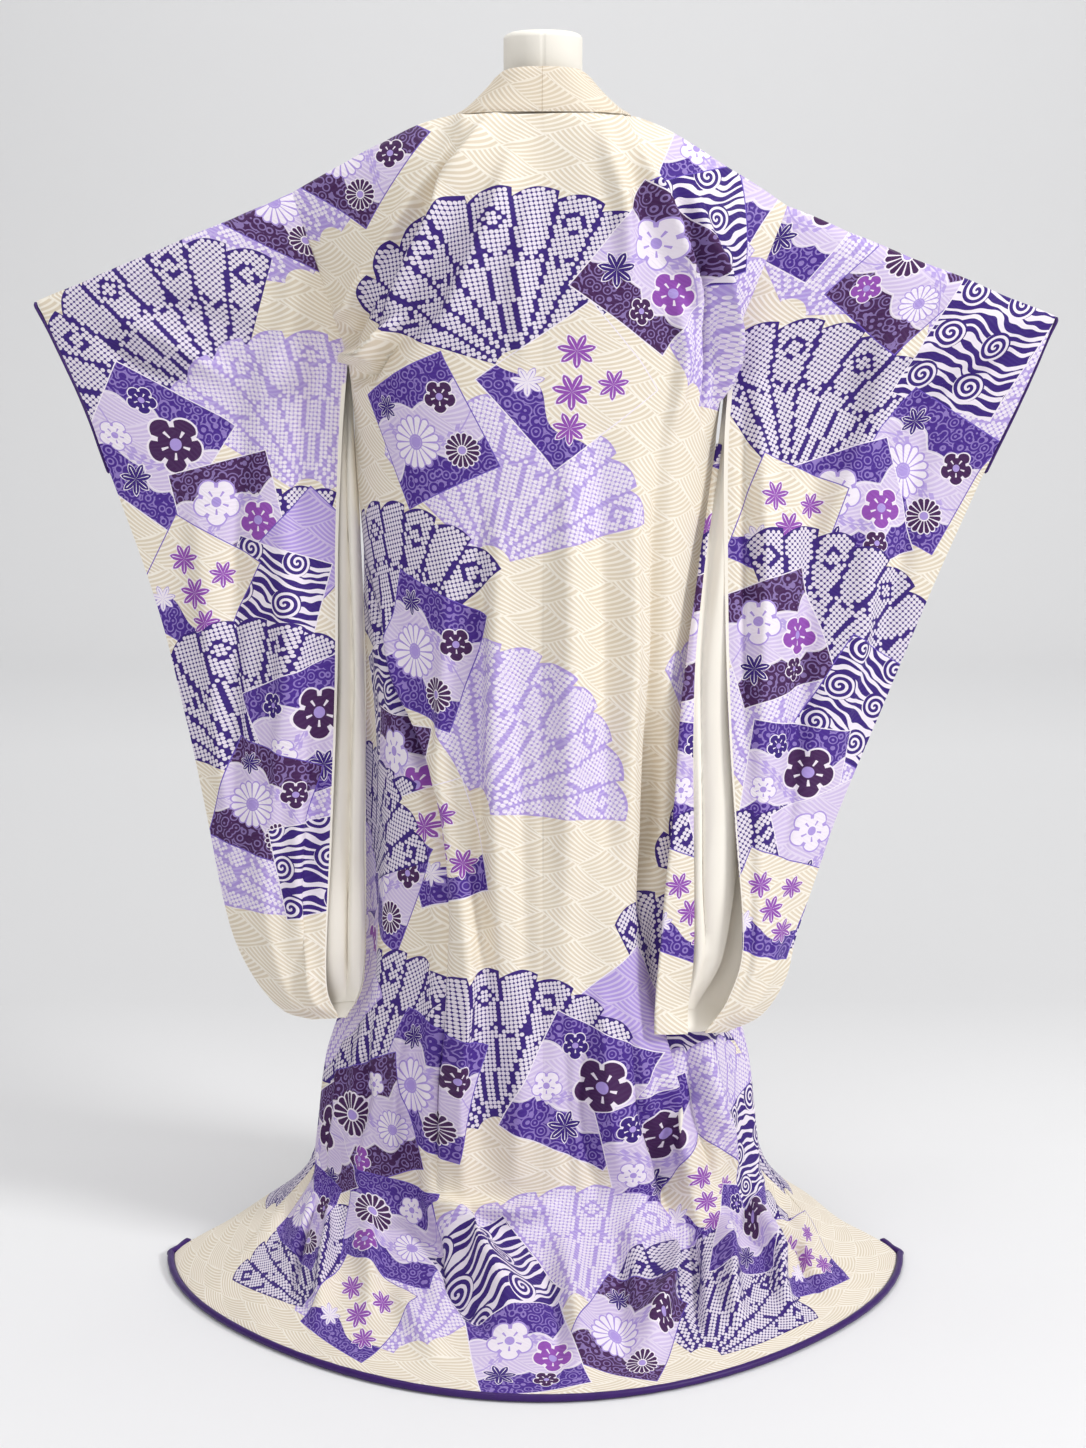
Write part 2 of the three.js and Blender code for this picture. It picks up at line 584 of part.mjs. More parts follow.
function hemRoll() {
  const reach = ROLL_RADIUS + SEAM + 0.4;
  const end = HALF_BACK + FRONT + overlapWidth(0);
  const half = (side) => {
    const arc = spread(20, 0, end).map((place) => {
      const p = bodyPoint(side, 0, place);
      const way = new THREE.Vector3(p.x, p.y - LEVELS[0].y, 0).normalize();
      return p.addScaledVector(way, reach);
    });
    const tip = bodyPoint(side, 0, end);
    const round = new THREE.Vector3(side, 0.5, 0).normalize();
    const edge = [10, 30, ROLL_UP].map((up) => {
      const p = bodyPoint(side, up, HALF_BACK + FRONT + overlapWidth(up));
      const way = p.clone().sub(bodyPoint(side, up, HALF_BACK + FRONT + overlapWidth(up) - 10)).normalize();
      return p.addScaledVector(way, reach + WALL + 0.8);
    });
    return [...arc, tip.addScaledVector(round, reach + 2.2), ...edge];
  };
  return tube([...half(-1).slice(1).reverse(), ...half(1)], ROLL_RADIUS, 8);
}

// Rings of points joined to a closed skin with flat ends
function skin(points, around) {
  const rings = points.length / around;
  const index = [];
  for (let k = 0; k < rings - 1; k += 1) {
    for (let i = 0; i < around; i += 1) {
      const [a, b] = [k * around + i, k * around + ((i + 1) % around)];
      index.push(a, b, b + around, a, b + around, a + around);
    }
  }
  const top = (rings - 1) * around;
  for (let i = 1; i < around - 1; i += 1) {
    index.push(0, i + 1, i);
    index.push(top, top + i, top + i + 1);
  }
  const geometry = new THREE.BufferGeometry();
  geometry.setAttribute("position", new THREE.Float32BufferAttribute(points.flatMap((p) => p.toArray()), 3));
  geometry.setIndex(index);
  return faceOut(geometry);
}

function loft(sections) {
  const around = 28;
  const points = [];
  for (const s of sections) {
    for (let i = 0; i < around; i += 1) {
      const angle = (2 * Math.PI * i) / around;
      points.push(new THREE.Vector3(s.wide * Math.cos(angle), s.deep * Math.sin(angle), s.z));
    }
  }
  return skin(points, around);
}

function neckBlock() {
  const low = TORSO[TORSO.length - 1].z + SEAM;
  const bands = [
    { z: low, r: NECK_RADIUS + 1 },
    { z: low + 30, r: NECK_RADIUS },
    { z: NECK_TOP - 12, r: NECK_RADIUS },
    { z: NECK_TOP - 4.5, r: NECK_RADIUS - 3 },
    { z: NECK_TOP - 1.2, r: NECK_RADIUS - 10 },
    { z: NECK_TOP, r: NECK_RADIUS - 22 },
  ];
  return loft(bands.map((b) => ({ z: b.z, wide: b.r, deep: b.r })));
}

// The plain rod that holds a sleeve out, under its top fold
function armRod(side) {
  const top = side < 0 ? TOP_LEFT : TOP_RIGHT;
  const start = read(top, "across", 0.61).z - ROD_DROP;
  const line = [new THREE.Vector3(side * (read(TORSO, "z", start).wide + ROD_CLEAR), 0, start)];
  for (const across of [0.7, 0.85, 1]) {
    const p = read(top, "across", across);
    line.push(new THREE.Vector3(side * p.x, 0, p.z - ROD_DROP));
  }
  for (const across of [0.3, 0.55, 0.8]) {
    const p = sleevePoint(side, 0, across, 1);
    line.push(new THREE.Vector3(p.x, p.y, p.z - ROD_DROP));
  }
  return tube(new THREE.CatmullRomCurve3(line, false, "centripetal").getSpacedPoints(12), ROD_RADIUS, 8);
}

export function bodies() {
  const cream = 0xe9e0cb;
  const satin = 0xf1e8d4;
  const purple = 0x4b237d;
  const list = [];
  for (const [side, name] of [[-1, "left"], [1, "right"]]) {
    list.push(mesh(`body_${name}`, faceOut(bodyPanel(side)), cream));
    list.push(mesh(`overlap_${name}`, faceOut(overlapPanel(side)), cream));
    list.push(mesh(`sleeve_${name}`, faceOut(sleeve(side)), cream));
    list.push(mesh(`sleeve_lining_${name}`, faceOut(sleeveLining(side)), satin, 0.4));
    list.push(mesh(`cuff_roll_${name}`, cuffRoll(side), purple, 0.4));
    list.push(mesh(`form_rod_${name}`, armRod(side), 0x8f8a80, 0.4));
  }
  list.push(mesh("collar", faceOut(collar()), cream));
  list.push(mesh("hem_roll", hemRoll(), purple, 0.4));
  list.push(mesh("form_torso", loft(TORSO), 0xefe9dc, 0.8));
  list.push(mesh("form_neck", neckBlock(), 0xefe9dc, 0.8));
  const poleLow = BASE_THICK + SEAM;
  const poleHigh = TORSO_LOW - SEAM;
  const pole = { wide: POLE_RADIUS, deep: POLE_RADIUS };
  list.push(mesh("form_pole", loft([{ ...pole, z: poleLow }, { ...pole, z: poleHigh }]), 0x9a958c, 0.35));
  const base = [
    { z: 0, wide: BASE_RADIUS, deep: BASE_RADIUS },
    { z: BASE_THICK - 3, wide: BASE_RADIUS, deep: BASE_RADIUS },
    { z: BASE_THICK, wide: BASE_RADIUS - 3, deep: BASE_RADIUS - 3 },
  ];
  list.push(mesh("form_base", loft(base), 0x9a958c, 0.35));
  return list;
}

const group = new THREE.Group();
group.name = "furisode";
group.add(...bodies());
export default group;
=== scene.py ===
"""A furisode spread on a limbless dress form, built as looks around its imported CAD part.

Lengths in the tables are millimetres on the flat cloth or in the part's frame. Meshes are made in metres.
"""
import math

import bpy
import numpy as np
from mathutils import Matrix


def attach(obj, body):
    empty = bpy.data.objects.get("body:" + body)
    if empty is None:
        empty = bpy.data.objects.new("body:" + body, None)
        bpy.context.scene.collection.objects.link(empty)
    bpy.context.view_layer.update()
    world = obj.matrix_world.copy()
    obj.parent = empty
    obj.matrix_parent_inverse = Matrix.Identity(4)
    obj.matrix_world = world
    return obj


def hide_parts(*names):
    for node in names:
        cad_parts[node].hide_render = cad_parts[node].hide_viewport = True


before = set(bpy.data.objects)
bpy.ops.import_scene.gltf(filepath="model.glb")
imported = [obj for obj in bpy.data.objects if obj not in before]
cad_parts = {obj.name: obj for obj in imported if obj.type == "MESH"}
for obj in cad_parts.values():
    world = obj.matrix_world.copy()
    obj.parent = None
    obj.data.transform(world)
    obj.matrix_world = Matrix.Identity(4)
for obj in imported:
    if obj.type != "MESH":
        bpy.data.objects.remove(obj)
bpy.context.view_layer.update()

bl_info = {
    "name": "Furisode on a dress form",
    "version": (1, 0, 0),
    "blender": (4, 5, 0),
    "location": "3D View > Sidebar > Furisode",
    "description": "Builds the cloth, rolls, dress form and stage around the packed part",
    "category": "Object",
}

MM = 0.001
# Height of the small unevenness that all creased cloth has
UNEVEN = 1.1

# Sizes of the garment and its form. Seams are closer and rolls slimmer here than in the CAD part.
WALL = 2.0
SEAM = 0.06
HALF_BACK = 300.0
FRONT = 240.0
OVERLAP = 150.0
TO_ARM = 1344.0
ARM_HEIGHT = 1104.0
HEM_DIP = 0.045
TIP_CUT = 12.0
OVERLAP_TOP = 8.0
OVERLAP_FULL = 950.0
COLLAR_WIDTH = 55.0
COLLAR_WALL = 4.0
COLLAR_END = 985.0
COLLAR_SEAM = 3.6
COLLAR_STEPS = 14
ROLL_RADIUS = 4.1
ROLL_UP = 34.0
CUFF_RADIUS = 1.7
WRIST = 0.22
ARMPIT = 0.21
SLEEVE_BULGE = 13.0
LINING_WALL = 1.0
ARM_SEAM = 0.25
ARM_SLIT = 21.0
NECK_SHARE = 0.4
ROUND = 3.4
NECK_TOP = 1489.0
NECK_RADIUS = 47.0
# Cloth length for each millimetre of height, and of width along a sleeve
CLOTH_UP = 1.02
CLOTH_OUT = 1.06
# How far along the cloth the print of the turned-back sleeve edge lies
TURNED_PRINT = 105.0


def table(names, *rows):
    """Rows of numbers as one array for each named column."""
    return {name: np.array([row[i] for row in rows], float) for i, name in enumerate(names.split())}


# The body's sections by length up the cloth: half widths, middle, depths, and the angles of its seams
LEVELS = table(
    "up z left right y back front side join edge",
    (0, 5, 459, 440, -78, 455, 455, 37.5, 67.5, 87),
    (55, 14, 431, 412, -70, 415, 400, 38, 69, 89),
    (120, 27, 392, 372, -58, 340, 330, 40, 71, 92),
    (190, 42, 355, 343, -38, 262, 250, 44, 76, 98),
    (255, 58, 325, 312, -20, 196, 200, 50, 83, 105),
    (310, 88, 297, 284, -8, 172, 175, 56, 92, 116),
    (370, 135, 283, 268, 0, 170, 165, 62, 100, 126),
    (470, 232, 264, 249, 0, 166, 155, 68, 108, 142),
    (520, 282, 246, 235, 0, 162, 150, 70, 112, 150),
    (600, 360, 219, 212, 0, 156, 142, 72, 116, 157),
    (720, 480, 211, 200, 0, 150, 132, 74, 120, 161),
    (900, 660, 210, 196, 0, 142, 125, 76, 124, 160),
    (1090, 850, 218, 200, 0, 132, 120, 80, 128, 156),
    (1240, 1000, 227, 210, 0, 124, 118, 84, 132, 158),
    (1344, 1104, 233, 222, 0, 118, 118, 88, 136, 158),
)
NAPE = ((0, 0, -80, 1388), (0.18, 58, -75, 1388), (0.3, 92, -52, 1388), (0.4, 108, 0, 1389))
TOP_LEFT = table(
    "across x y z",
    *NAPE,
    (0.52, 150, 0, 1378),
    (0.7, 208, 0, 1350),
    (1, 300, 0, 1300),
)
TOP_RIGHT = table(
    "across x y z",
    *NAPE,
    (0.52, 148, 0, 1373),
    (0.7, 206, 0, 1340),
    (1, 292, 0, 1284),
)
FOLDS = table(
    "side place width depth low high drift",
    (-1, 40, 24, 7, 330, 1250, 0),
    (-1, 118, 24, 17, 60, 820, 18),
    (-1, 178, 26, -12, 200, 1000, 10),
    (-1, 250, 26, 9, 60, 900, 20),
    (-1, 380, 34, 12, 60, 1150, 10),
    (-1, 470, 30, -10, 90, 1150, 0),
    (1, 30, 20, 6, 330, 1250, 0),
    (1, 104, 26, 15, 60, 760, 34),
    (1, 166, 24, -13, 60, 1000, 24),
    (1, 236, 26, 9, 60, 900, 20),
    (1, 372, 34, 12, 60, 1150, 10),
    (1, 466, 30, -10, 90, 1150, 0),
)
OUTER_LEFT = table(
    "down x y z",
    (0, 612, 0, 1171),
    (0.125, 556, -8, 1052),
    (0.21, 528, -12, 969),
    (0.35, 482, -20, 835),
    (0.46, 453, -25, 727),
    (0.63, 419, -35, 564),
    (0.79, 387, -45, 407),
    (0.87, 360, -52, 346),
    (0.94, 324, -63, 306),
    (1, 286, -78, 297),
)
BACK_INNER_LEFT = table(
    "down x y z",
    (0.21, 235, -24, 1104),
    (0.3, 243, -26, 1010),
    (0.42, 249, -32, 880),
    (0.58, 251, -46, 716),
    (0.75, 259, -67, 520),
    (0.9, 266, -90, 350),
    (1, 251, -97, 303),
)
FRONT_INNER_LEFT = table(
    "down x y z",
    (0.21, 235, 24, 1104),
    (0.3, 230, 4, 1010),
    (0.42, 223, -8, 880),
    (0.58, 218, -20, 714),
    (0.75, 219, -46, 520),
    (0.9, 221, -74, 350),
    (1, 243, -92, 302),
)
OUTER_RIGHT = table(
    "down x y z",
    (0, 620, 0, 1153),
    (0.125, 577, -8, 1054),
    (0.21, 538, -12, 969),
    (0.32, 491, -20, 861),
    (0.4, 461, -24, 787),
    (0.5, 424, -32, 697),
    (0.65, 358, -48, 538),
    (0.79, 313, -64, 400),
    (0.87, 297, -72, 345),
    (0.93, 268, -88, 305),
    (1, 223, -116, 292),
)
BACK_INNER_RIGHT = table(
    "down x y z",
    (0.21, 226, -24, 1104),
    (0.3, 218, -46, 1005),
    (0.42, 218, -72, 870),
    (0.56, 221, -98, 723),
    (0.72, 231, -120, 556),
    (0.87, 240, -138, 402),
    (0.95, 222, -147, 338),
    (1, 195, -152, 301),
)
FRONT_INNER_RIGHT = table(
    "down x y z",
    (0.21, 226, 24, 1104),
    (0.3, 213, -22, 1005),
    (0.42, 191, -62, 870),
    (0.56, 173, -92, 723),
    (0.72, 158, -122, 557),
    (0.87, 143, -142, 403),
    (0.95, 137, -150, 336),
    (1, 137, -154, 300),
)
TURN_BACK = table("down wide", (0.3, 4), (0.45, 6), (0.56, 9), (0.72, 28), (0.87, 46), (1, 42))
TURN = table("share lift aside", (0, 3.8, -2.4), (0.3, 7.4, 0), (1, 8, 0))
SLEEVE_FOLDS = table(
    "side across width depth low high drift",
    (-1, 0.3, 0.1, 9, 0.3, 1, -0.04),
    (-1, 0.62, 0.1, 7, 0.35, 0.98, 0.05),
    (-1, 0.42, 0.12, -8, 0.05, 0.5, 0.3),
    (1, 0.35, 0.11, 9, 0.3, 0.98, -0.05),
    (1, 0.66, 0.1, 8, 0.3, 0.98, 0.02),
    (1, 0.4, 0.12, -8, 0.05, 0.5, 0.25),
)
COLLAR_FREE = table(
    "along x y z",
    (0, 0, -62, 1444),
    (0.3, 28, -59, 1443),
    (0.55, 47, -45, 1439),
    (0.8, 59, -22, 1427),
    (1, 67, 6, 1412),
)
TORSO = table(
    "z wide deep",
    (700, 138, 100),
    (716, 150, 110),
    (800, 158, 112),
    (900, 132, 92),
    (980, 120, 84),
    (1080, 140, 98),
    (1180, 164, 100),
    (1270, 184, 86),
    (1320, 188, 66),
    (1345, 181, 54),
    (1364.8, 160, 46),
    (1376.3, 134, 42),
    (1383.2, 102, 42),
    (1389, 70, 45),
    (1398, 52, 47),
)

# Creases and ridges, seen from behind. Each follows points (across, up) of the flat cloth from its
# top end down, then come its widths to the left and right, and its height out of the cloth.
BODY_CREASES = [
    (((-60, 1625), (-110, 1545), (-150, 1455), (-185, 1385)), (7, 15), 20),
    (((-105, 1600), (-150, 1530), (-205, 1440)), (12, 6), 13),
    (((-30, 1600), (-60, 1500), (-100, 1400), (-165, 1330)), (8, 16), 11),
    (((-205, 1455), (-235, 1410), (-285, 1395)), (7, 10), 15),
    (((-150, 1400), (-205, 1350), (-285, 1345)), (9, 6), 26),
    (((-155, 1370), (-210, 1325), (-290, 1318)), (5, 5), -13),
    (((-195, 1420), (-240, 1375), (-290, 1372)), (5, 6), -8),
    (((100, 1620), (140, 1545), (175, 1450), (205, 1380)), (15, 7), 17),
    (((65, 1620), (90, 1530), (95, 1430)), (12, 10), 9),
    (((170, 1560), (205, 1470), (215, 1400)), (9, 10), 12),
    (((205, 1480), (225, 1410), (245, 1345), (255, 1290)), (7, 12), 26),
    (((185, 1470), (200, 1400), (215, 1330), (225, 1270)), (6, 6), -13),
    (((150, 1440), (165, 1360), (160, 1250)), (9, 13), 9),
    (((-10, 1560), (-25, 1450), (-20, 1340)), (10, 12), 5),
    (((30, 1275), (35, 1020), (35, 705)), (14, 20), 8),
    (((65, 1265), (85, 1020), (95, 730)), (14, 14), -6),
    (((110, 1250), (125, 1005), (125, 745)), (16, 12), 10),
    (((145, 1265), (170, 1000), (170, 690)), (10, 14), -12),
    (((-50, 1160), (-60, 875), (-55, 580)), (16, 12), 9),
    (((-70, 1160), (-90, 870), (-85, 630)), (10, 12), -9),
    (((-115, 1110), (-140, 870), (-120, 665)), (12, 14), 8),
    (((-30, 1020), (-25, 755), (-20, 505)), (12, 12), -5),
    (((-110, 755), (-100, 530), (-100, 310)), (12, 18), 19),
    (((-150, 695), (-125, 505), (-130, 315)), (9, 8), -11),
    (((-315, 1085), (-260, 985), (-210, 915), (-180, 850), (-155, 745), (-145, 625)), (8, 20), -16),
    (((-240, 1065), (-210, 960), (-175, 890), (-140, 820)), (10, 16), 12),
    (((190, 935), (180, 775), (155, 660)), (20, 8), -15),
    (((-200, 570), (-190, 450), (-205, 335)), (12, 14), 12),
    (((-260, 550), (-240, 440), (-275, 325)), (12, 10), -10),
    (((-330, 510), (-295, 415), (-350, 310)), (10, 14), 9),
    (((110, 555), (115, 500), (120, 450), (160, 380), (180, 315), (190, 265)), (14, 8), -11),
    (((145, 575), (155, 475), (200, 375), (230, 245)), (10, 18), 16),
    (((80, 605), (80, 480), (100, 350)), (16, 14), 10),
    (((230, 510), (245, 425), (315, 320)), (12, 12), 10),
    (((205, 520), (210, 425), (250, 320)), (8, 10), -10),
    (((-20, 610), (-25, 470), (-35, 340)), (14, 14), 8),
    (((25, 575), (30, 455), (35, 325)), (10, 10), -5),
    (((60, 530), (55, 445), (70, 320)), (12, 10), -8),
    (((-145, 325), (-110, 255), (-30, 140)), (16, 26), 26),
    (((-180, 305), (-125, 190), (-65, 110)), (14, 14), -16),
    (((-95, 310), (-35, 300), (25, 315)), (16, 12), 12),
    (((210, 265), (220, 190), (220, 80)), (12, 8), -11),
    (((175, 265), (170, 165), (140, 80)), (18, 16), 22),
    (((265, 265), (275, 165), (280, 70)), (14, 18), 16),
    (((-370, 275), (-395, 190), (-380, 100)), (8, 12), -10),
    (((-325, 285), (-330, 185), (-315, 80)), (12, 20), 16),
    (((-240, 300), (-245, 190), (-230, 95)), (16, 16), 9),
    (((340, 290), (390, 165), (370, 55)), (14, 16), 13),
    (((395, 270), (460, 165), (450, 70)), (10, 12), -9),
    (((25, 280), (40, 160), (55, 50)), (18, 18), 9),
    (((95, 265), (110, 155), (100, 50)), (14, 14), -8),
    (((-5, 225), (25, 130), (10, 45)), (12, 14), -6),
    (((-200, 160), (-155, 100), (-115, 55)), (18, 18), 8),
]
SLEEVE_CREASES = [
    (((-575, 1370), (-535, 1340), (-495, 1315)), (10, 14), -9),
    (((-555, 1390), (-505, 1370), (-435, 1315)), (10, 16), 9),
    (((-525, 1415), (-460, 1400), (-385, 1375)), (12, 16), -5),
    (((-310, 1490), (-350, 1390), (-430, 1260)), (14, 20), 7),
    (((-325, 1380), (-365, 1205), (-375, 1000)), (12, 16), -8),
    (((-365, 1230), (-380, 925), (-415, 675)), (16, 16), 9),
    (((-435, 1270), (-450, 985), (-450, 735)), (14, 14), -8),
    (((-500, 1170), (-470, 870), (-445, 645)), (14, 18), 7),
    (((-340, 920), (-355, 725), (-370, 560)), (9, 12), -8),
    (((630, 1380), (570, 1330), (485, 1275)), (14, 10), -8),
    (((585, 1400), (510, 1360), (430, 1330)), (10, 14), 8),
    (((450, 1430), (475, 1270), (390, 1075)), (16, 20), 8),
    (((320, 1380), (335, 1100), (325, 810)), (12, 14), 9),
    (((405, 1270), (385, 930), (360, 680)), (14, 14), -9),
    (((310, 1295), (315, 1100), (315, 880)), (9, 9), -7),
    (((485, 1195), (460, 1020), (415, 800)), (16, 14), 8),
    (((540, 1260), (515, 1095), (485, 970)), (12, 14), -7),
]

# The printed design, from the lowest shape to the topmost one, in the flat cloth from behind.
# across is from the centre back, up from the hem; size is a fan's radius or a card's side.
FAN, CARD = 1, 0
DARK, PALE, WATER, CLOUD, MIST, LEAVES, PLAIN, PLUM = range(8)
BODY_PRINT = [
    # shape, fill, across, up, size, turn
    # back of the shoulders
    (FAN, PALE, -262, 1482, 172, -18),
    (CARD, PLUM, -226, 1588, 120, 32),
    (FAN, PALE, 182, 1292, 212, 34),
    (FAN, DARK, -22, 1332, 222, -10),
    (CARD, CLOUD, 232, 1588, 148, 24),
    (CARD, WATER, 196, 1500, 120, -14),
    (CARD, PLUM, 128, 1452, 138, 38),
    (FAN, PALE, -62, 1104, 206, 14),
    (CARD, LEAVES, 32, 1316, 136, 52),
    (CARD, CLOUD, -136, 1262, 132, -24),
    # the middle of the back
    (FAN, DARK, -206, 968, 214, -12),
    (FAN, PALE, -88, 812, 212, 32),
    (CARD, WATER, -262, 932, 126, -18),
    (CARD, CLOUD, -158, 1000, 136, 22),
    (CARD, PLUM, -226, 846, 126, 8),
    (FAN, DARK, -262, 668, 186, -26),
    (CARD, LEAVES, -150, 766, 126, -16),
    (CARD, CLOUD, -258, 716, 130, 24),
    (FAN, PALE, 272, 862, 150, 26),
    # below the middle
    (FAN, DARK, 186, 512, 196, 34),
    (CARD, PLAIN, 122, 552, 126, -32),
    (CARD, WATER, 246, 528, 126, 16),
    (FAN, DARK, -52, 412, 214, -8),
    (FAN, DARK, -232, 440, 192, -28),
    (CARD, CLOUD, 48, 468, 144, 26),
    (CARD, CLOUD, -150, 468, 136, 14),
    (FAN, PALE, 246, 312, 206, 22),
    (CARD, PLUM, -236, 410, 134, -20),
    (CARD, CLOUD, 152, 382, 142, -14),
    (CARD, LEAVES, 236, 300, 132, 32),
    # the train
    (FAN, PALE, -158, 52, 216, -20),
    (FAN, DARK, -322, 92, 196, -34),
    (FAN, PALE, 46, 128, 222, 6),
    (FAN, DARK, 206, 34, 212, 28),
    (FAN, DARK, 336, 112, 196, 42),
    (CARD, CLOUD, -212, 256, 148, 8),
    (CARD, WATER, -66, 196, 132, -32),
    (CARD, PLUM, 112, 106, 132, 28),
    (CARD, CLOUD, -22, 76, 128, -14),
    (CARD, LEAVES, -252, 108, 128, 22),
    (CARD, CLOUD, 322, 232, 136, 12),
    # the sides and the front
    (FAN, DARK, -352, 690, 188, 12),
    (CARD, CLOUD, -366, 622, 148, -8),
    (FAN, PALE, -392, 440, 202, -12),
    (CARD, PLUM, -352, 360, 136, -22),
    (CARD, CLOUD, -396, 250, 144, 18),
    (FAN, PALE, -490, 640, 190, 20),
    (CARD, WATER, -450, 560, 136, -30),
    (CARD, MIST, -520, 420, 148, 12),
    (FAN, DARK, -560, 200, 200, -30),
    (FAN, DARK, 362, 690, 192, -14),
    (CARD, CLOUD, 352, 620, 148, 20),
    (FAN, PALE, 402, 420, 202, 24),
    (CARD, WATER, 366, 360, 136, -18),
    (CARD, MIST, 486, 540, 148, -12),
    (FAN, DARK, 540, 240, 200, 18),
    (CARD, PLUM, 590, 420, 136, 30),
    (CARD, LEAVES, 470, 150, 136, 12),
]
SLEEVE_PRINT = [
    # the left sleeve
    (FAN, PALE, -322, 1432, 166, -18),
    (CARD, PLUM, -312, 1532, 116, 32),
    (FAN, DARK, -446, 1282, 214, -34),
    (FAN, PALE, -352, 1172, 212, 4),
    (CARD, CLOUD, -548, 1236, 142, 34),
    (FAN, DARK, -362, 1040, 152, -44),
    (CARD, PLUM, -452, 1146, 132, -14),
    (CARD, PLAIN, -352, 1108, 108, 44),
    (CARD, WATER, -402, 1042, 126, 16),
    (CARD, LEAVES, -502, 1062, 126, 28),
    (FAN, DARK, -422, 826, 204, -16),
    (FAN, PALE, -356, 652, 168, -24),
    (CARD, CLOUD, -352, 886, 136, -22),
    (CARD, PLUM, -412, 796, 120, 18),
    (CARD, WATER, -346, 716, 104, -12),
    # the right sleeve
    (FAN, PALE, 336, 1396, 176, 26),
    (CARD, CLOUD, 318, 1530, 132, 26),
    (FAN, DARK, 362, 1176, 222, 26),
    (FAN, PALE, 522, 1262, 202, 52),
    (CARD, PLUM, 462, 1442, 126, 36),
    (CARD, WATER, 566, 1356, 132, 16),
    (CARD, CLOUD, 532, 1206, 142, 30),
    (CARD, CLOUD, 448, 1160, 132, -16),
    (CARD, LEAVES, 362, 1146, 120, 22),
    (FAN, DARK, 372, 932, 214, 44),
    (FAN, PALE, 342, 776, 206, 26),
    (CARD, PLUM, 346, 1006, 126, -18),
    (CARD, WATER, 462, 916, 126, 32),
    (CARD, CLOUD, 372, 826, 130, 10),
    (FAN, DARK, 322, 616, 186, 34),
    (CARD, MIST, 416, 742, 120, -16),
    (CARD, LEAVES, 342, 676, 108, 24),
]
# Bunches of flowers on a card, in shares of its side: place, radius, petals and ink.
# Blooms with 5 or 7 petals are round ones and leaves, those with more are asters.
BUNCHES = [
    [
        (-0.2, 0.12, 0.23, 16, 0), (0.26, -0.12, 0.19, 16, 2), (0.18, 0.32, 0.13, 5, 2),
        (-0.24, -0.3, 0.15, 5, 3),
    ],
    [
        (0.14, 0.12, 0.27, 5, 0), (-0.3, -0.08, 0.14, 5, 2), (0.0, -0.34, 0.16, 7, 1),
        (-0.22, 0.34, 0.13, 5, 1),
    ],
    [
        (-0.12, -0.06, 0.26, 16, 2), (0.3, 0.2, 0.16, 5, 0), (-0.28, 0.34, 0.13, 7, 1),
        (0.26, -0.3, 0.17, 16, 0),
    ],
    [
        (-0.1, 0.2, 0.24, 5, 2), (0.26, -0.06, 0.21, 5, 3), (-0.28, -0.22, 0.17, 7, 1),
        (0.12, -0.36, 0.13, 5, 0),
    ],
]
STARS = [
    (-0.22, 0.2, 0.17, 7, 3), (0.2, 0.26, 0.15, 7, 3), (0.04, -0.04, 0.18, 7, 3),
    (-0.24, -0.26, 0.14, 7, 2), (0.28, -0.24, 0.16, 7, 3),
]
# Shapes and flowers that one face can carry
LAYERS = 4
BLOOMS = 2
# Two sides of a bundle of woven lines in the flat cloth, in metres, and the lines in a bundle
WEAVE_FALL = (0.045, -0.033)
WEAVE_RISE = (0.045, 0.013)
WEAVE_LINES = 8
FAN_HALF = math.radians(62)
FAN_RIBS = 9
FAN_HOLE = 0.12
CARD_TALL = 1.12
# Spacing of the tied dots, of the lines of water and of its whirls, in metres
DOT_PITCH = 0.0051
WATER_PITCH = 0.0112
WHIRL_WIDE = 0.062
WHIRL_TALL = 0.052


def read(rows, at):
    """A smooth reading of a table at values of its first column."""
    names = list(rows)
    keys = rows[names[0]]
    last = len(keys) - 1
    x = np.clip(np.asarray(at, float), keys[0], keys[last])
    i = np.clip(np.searchsorted(keys[1:], x, side="left"), 0, last - 1)
    j = i + 1
    before = np.maximum(i - 1, 0)
    after = np.minimum(i + 2, last)
    h = keys[j] - keys[i]
    t = (x - keys[i]) / h
    found = {}
    for name in names:
        c = rows[name]
        slope_a = (c[j] - c[before]) / (keys[j] - keys[before])
        slope_b = (c[after] - c[i]) / (keys[after] - keys[i])
        found[name] = (
            c[i] * (2 * t**3 - 3 * t**2 + 1)
            + slope_a * h * (t**3 - 2 * t**2 + t)
            + c[j] * (3 * t**2 - 2 * t**3)
            + slope_b * h * (t**3 - t**2)
        )
    return found


def ease(low, high, x):
    t = np.clip((np.asarray(x, float) - low) / (high - low), 0, 1)
    return t * t * (3 - 2 * t)


def mix(a, b, t):
    return a + (b - a) * t


def pack(x, y, z):
    """Three arrays as points."""
    return np.stack(np.broadcast_arrays(x, y, z), -1)


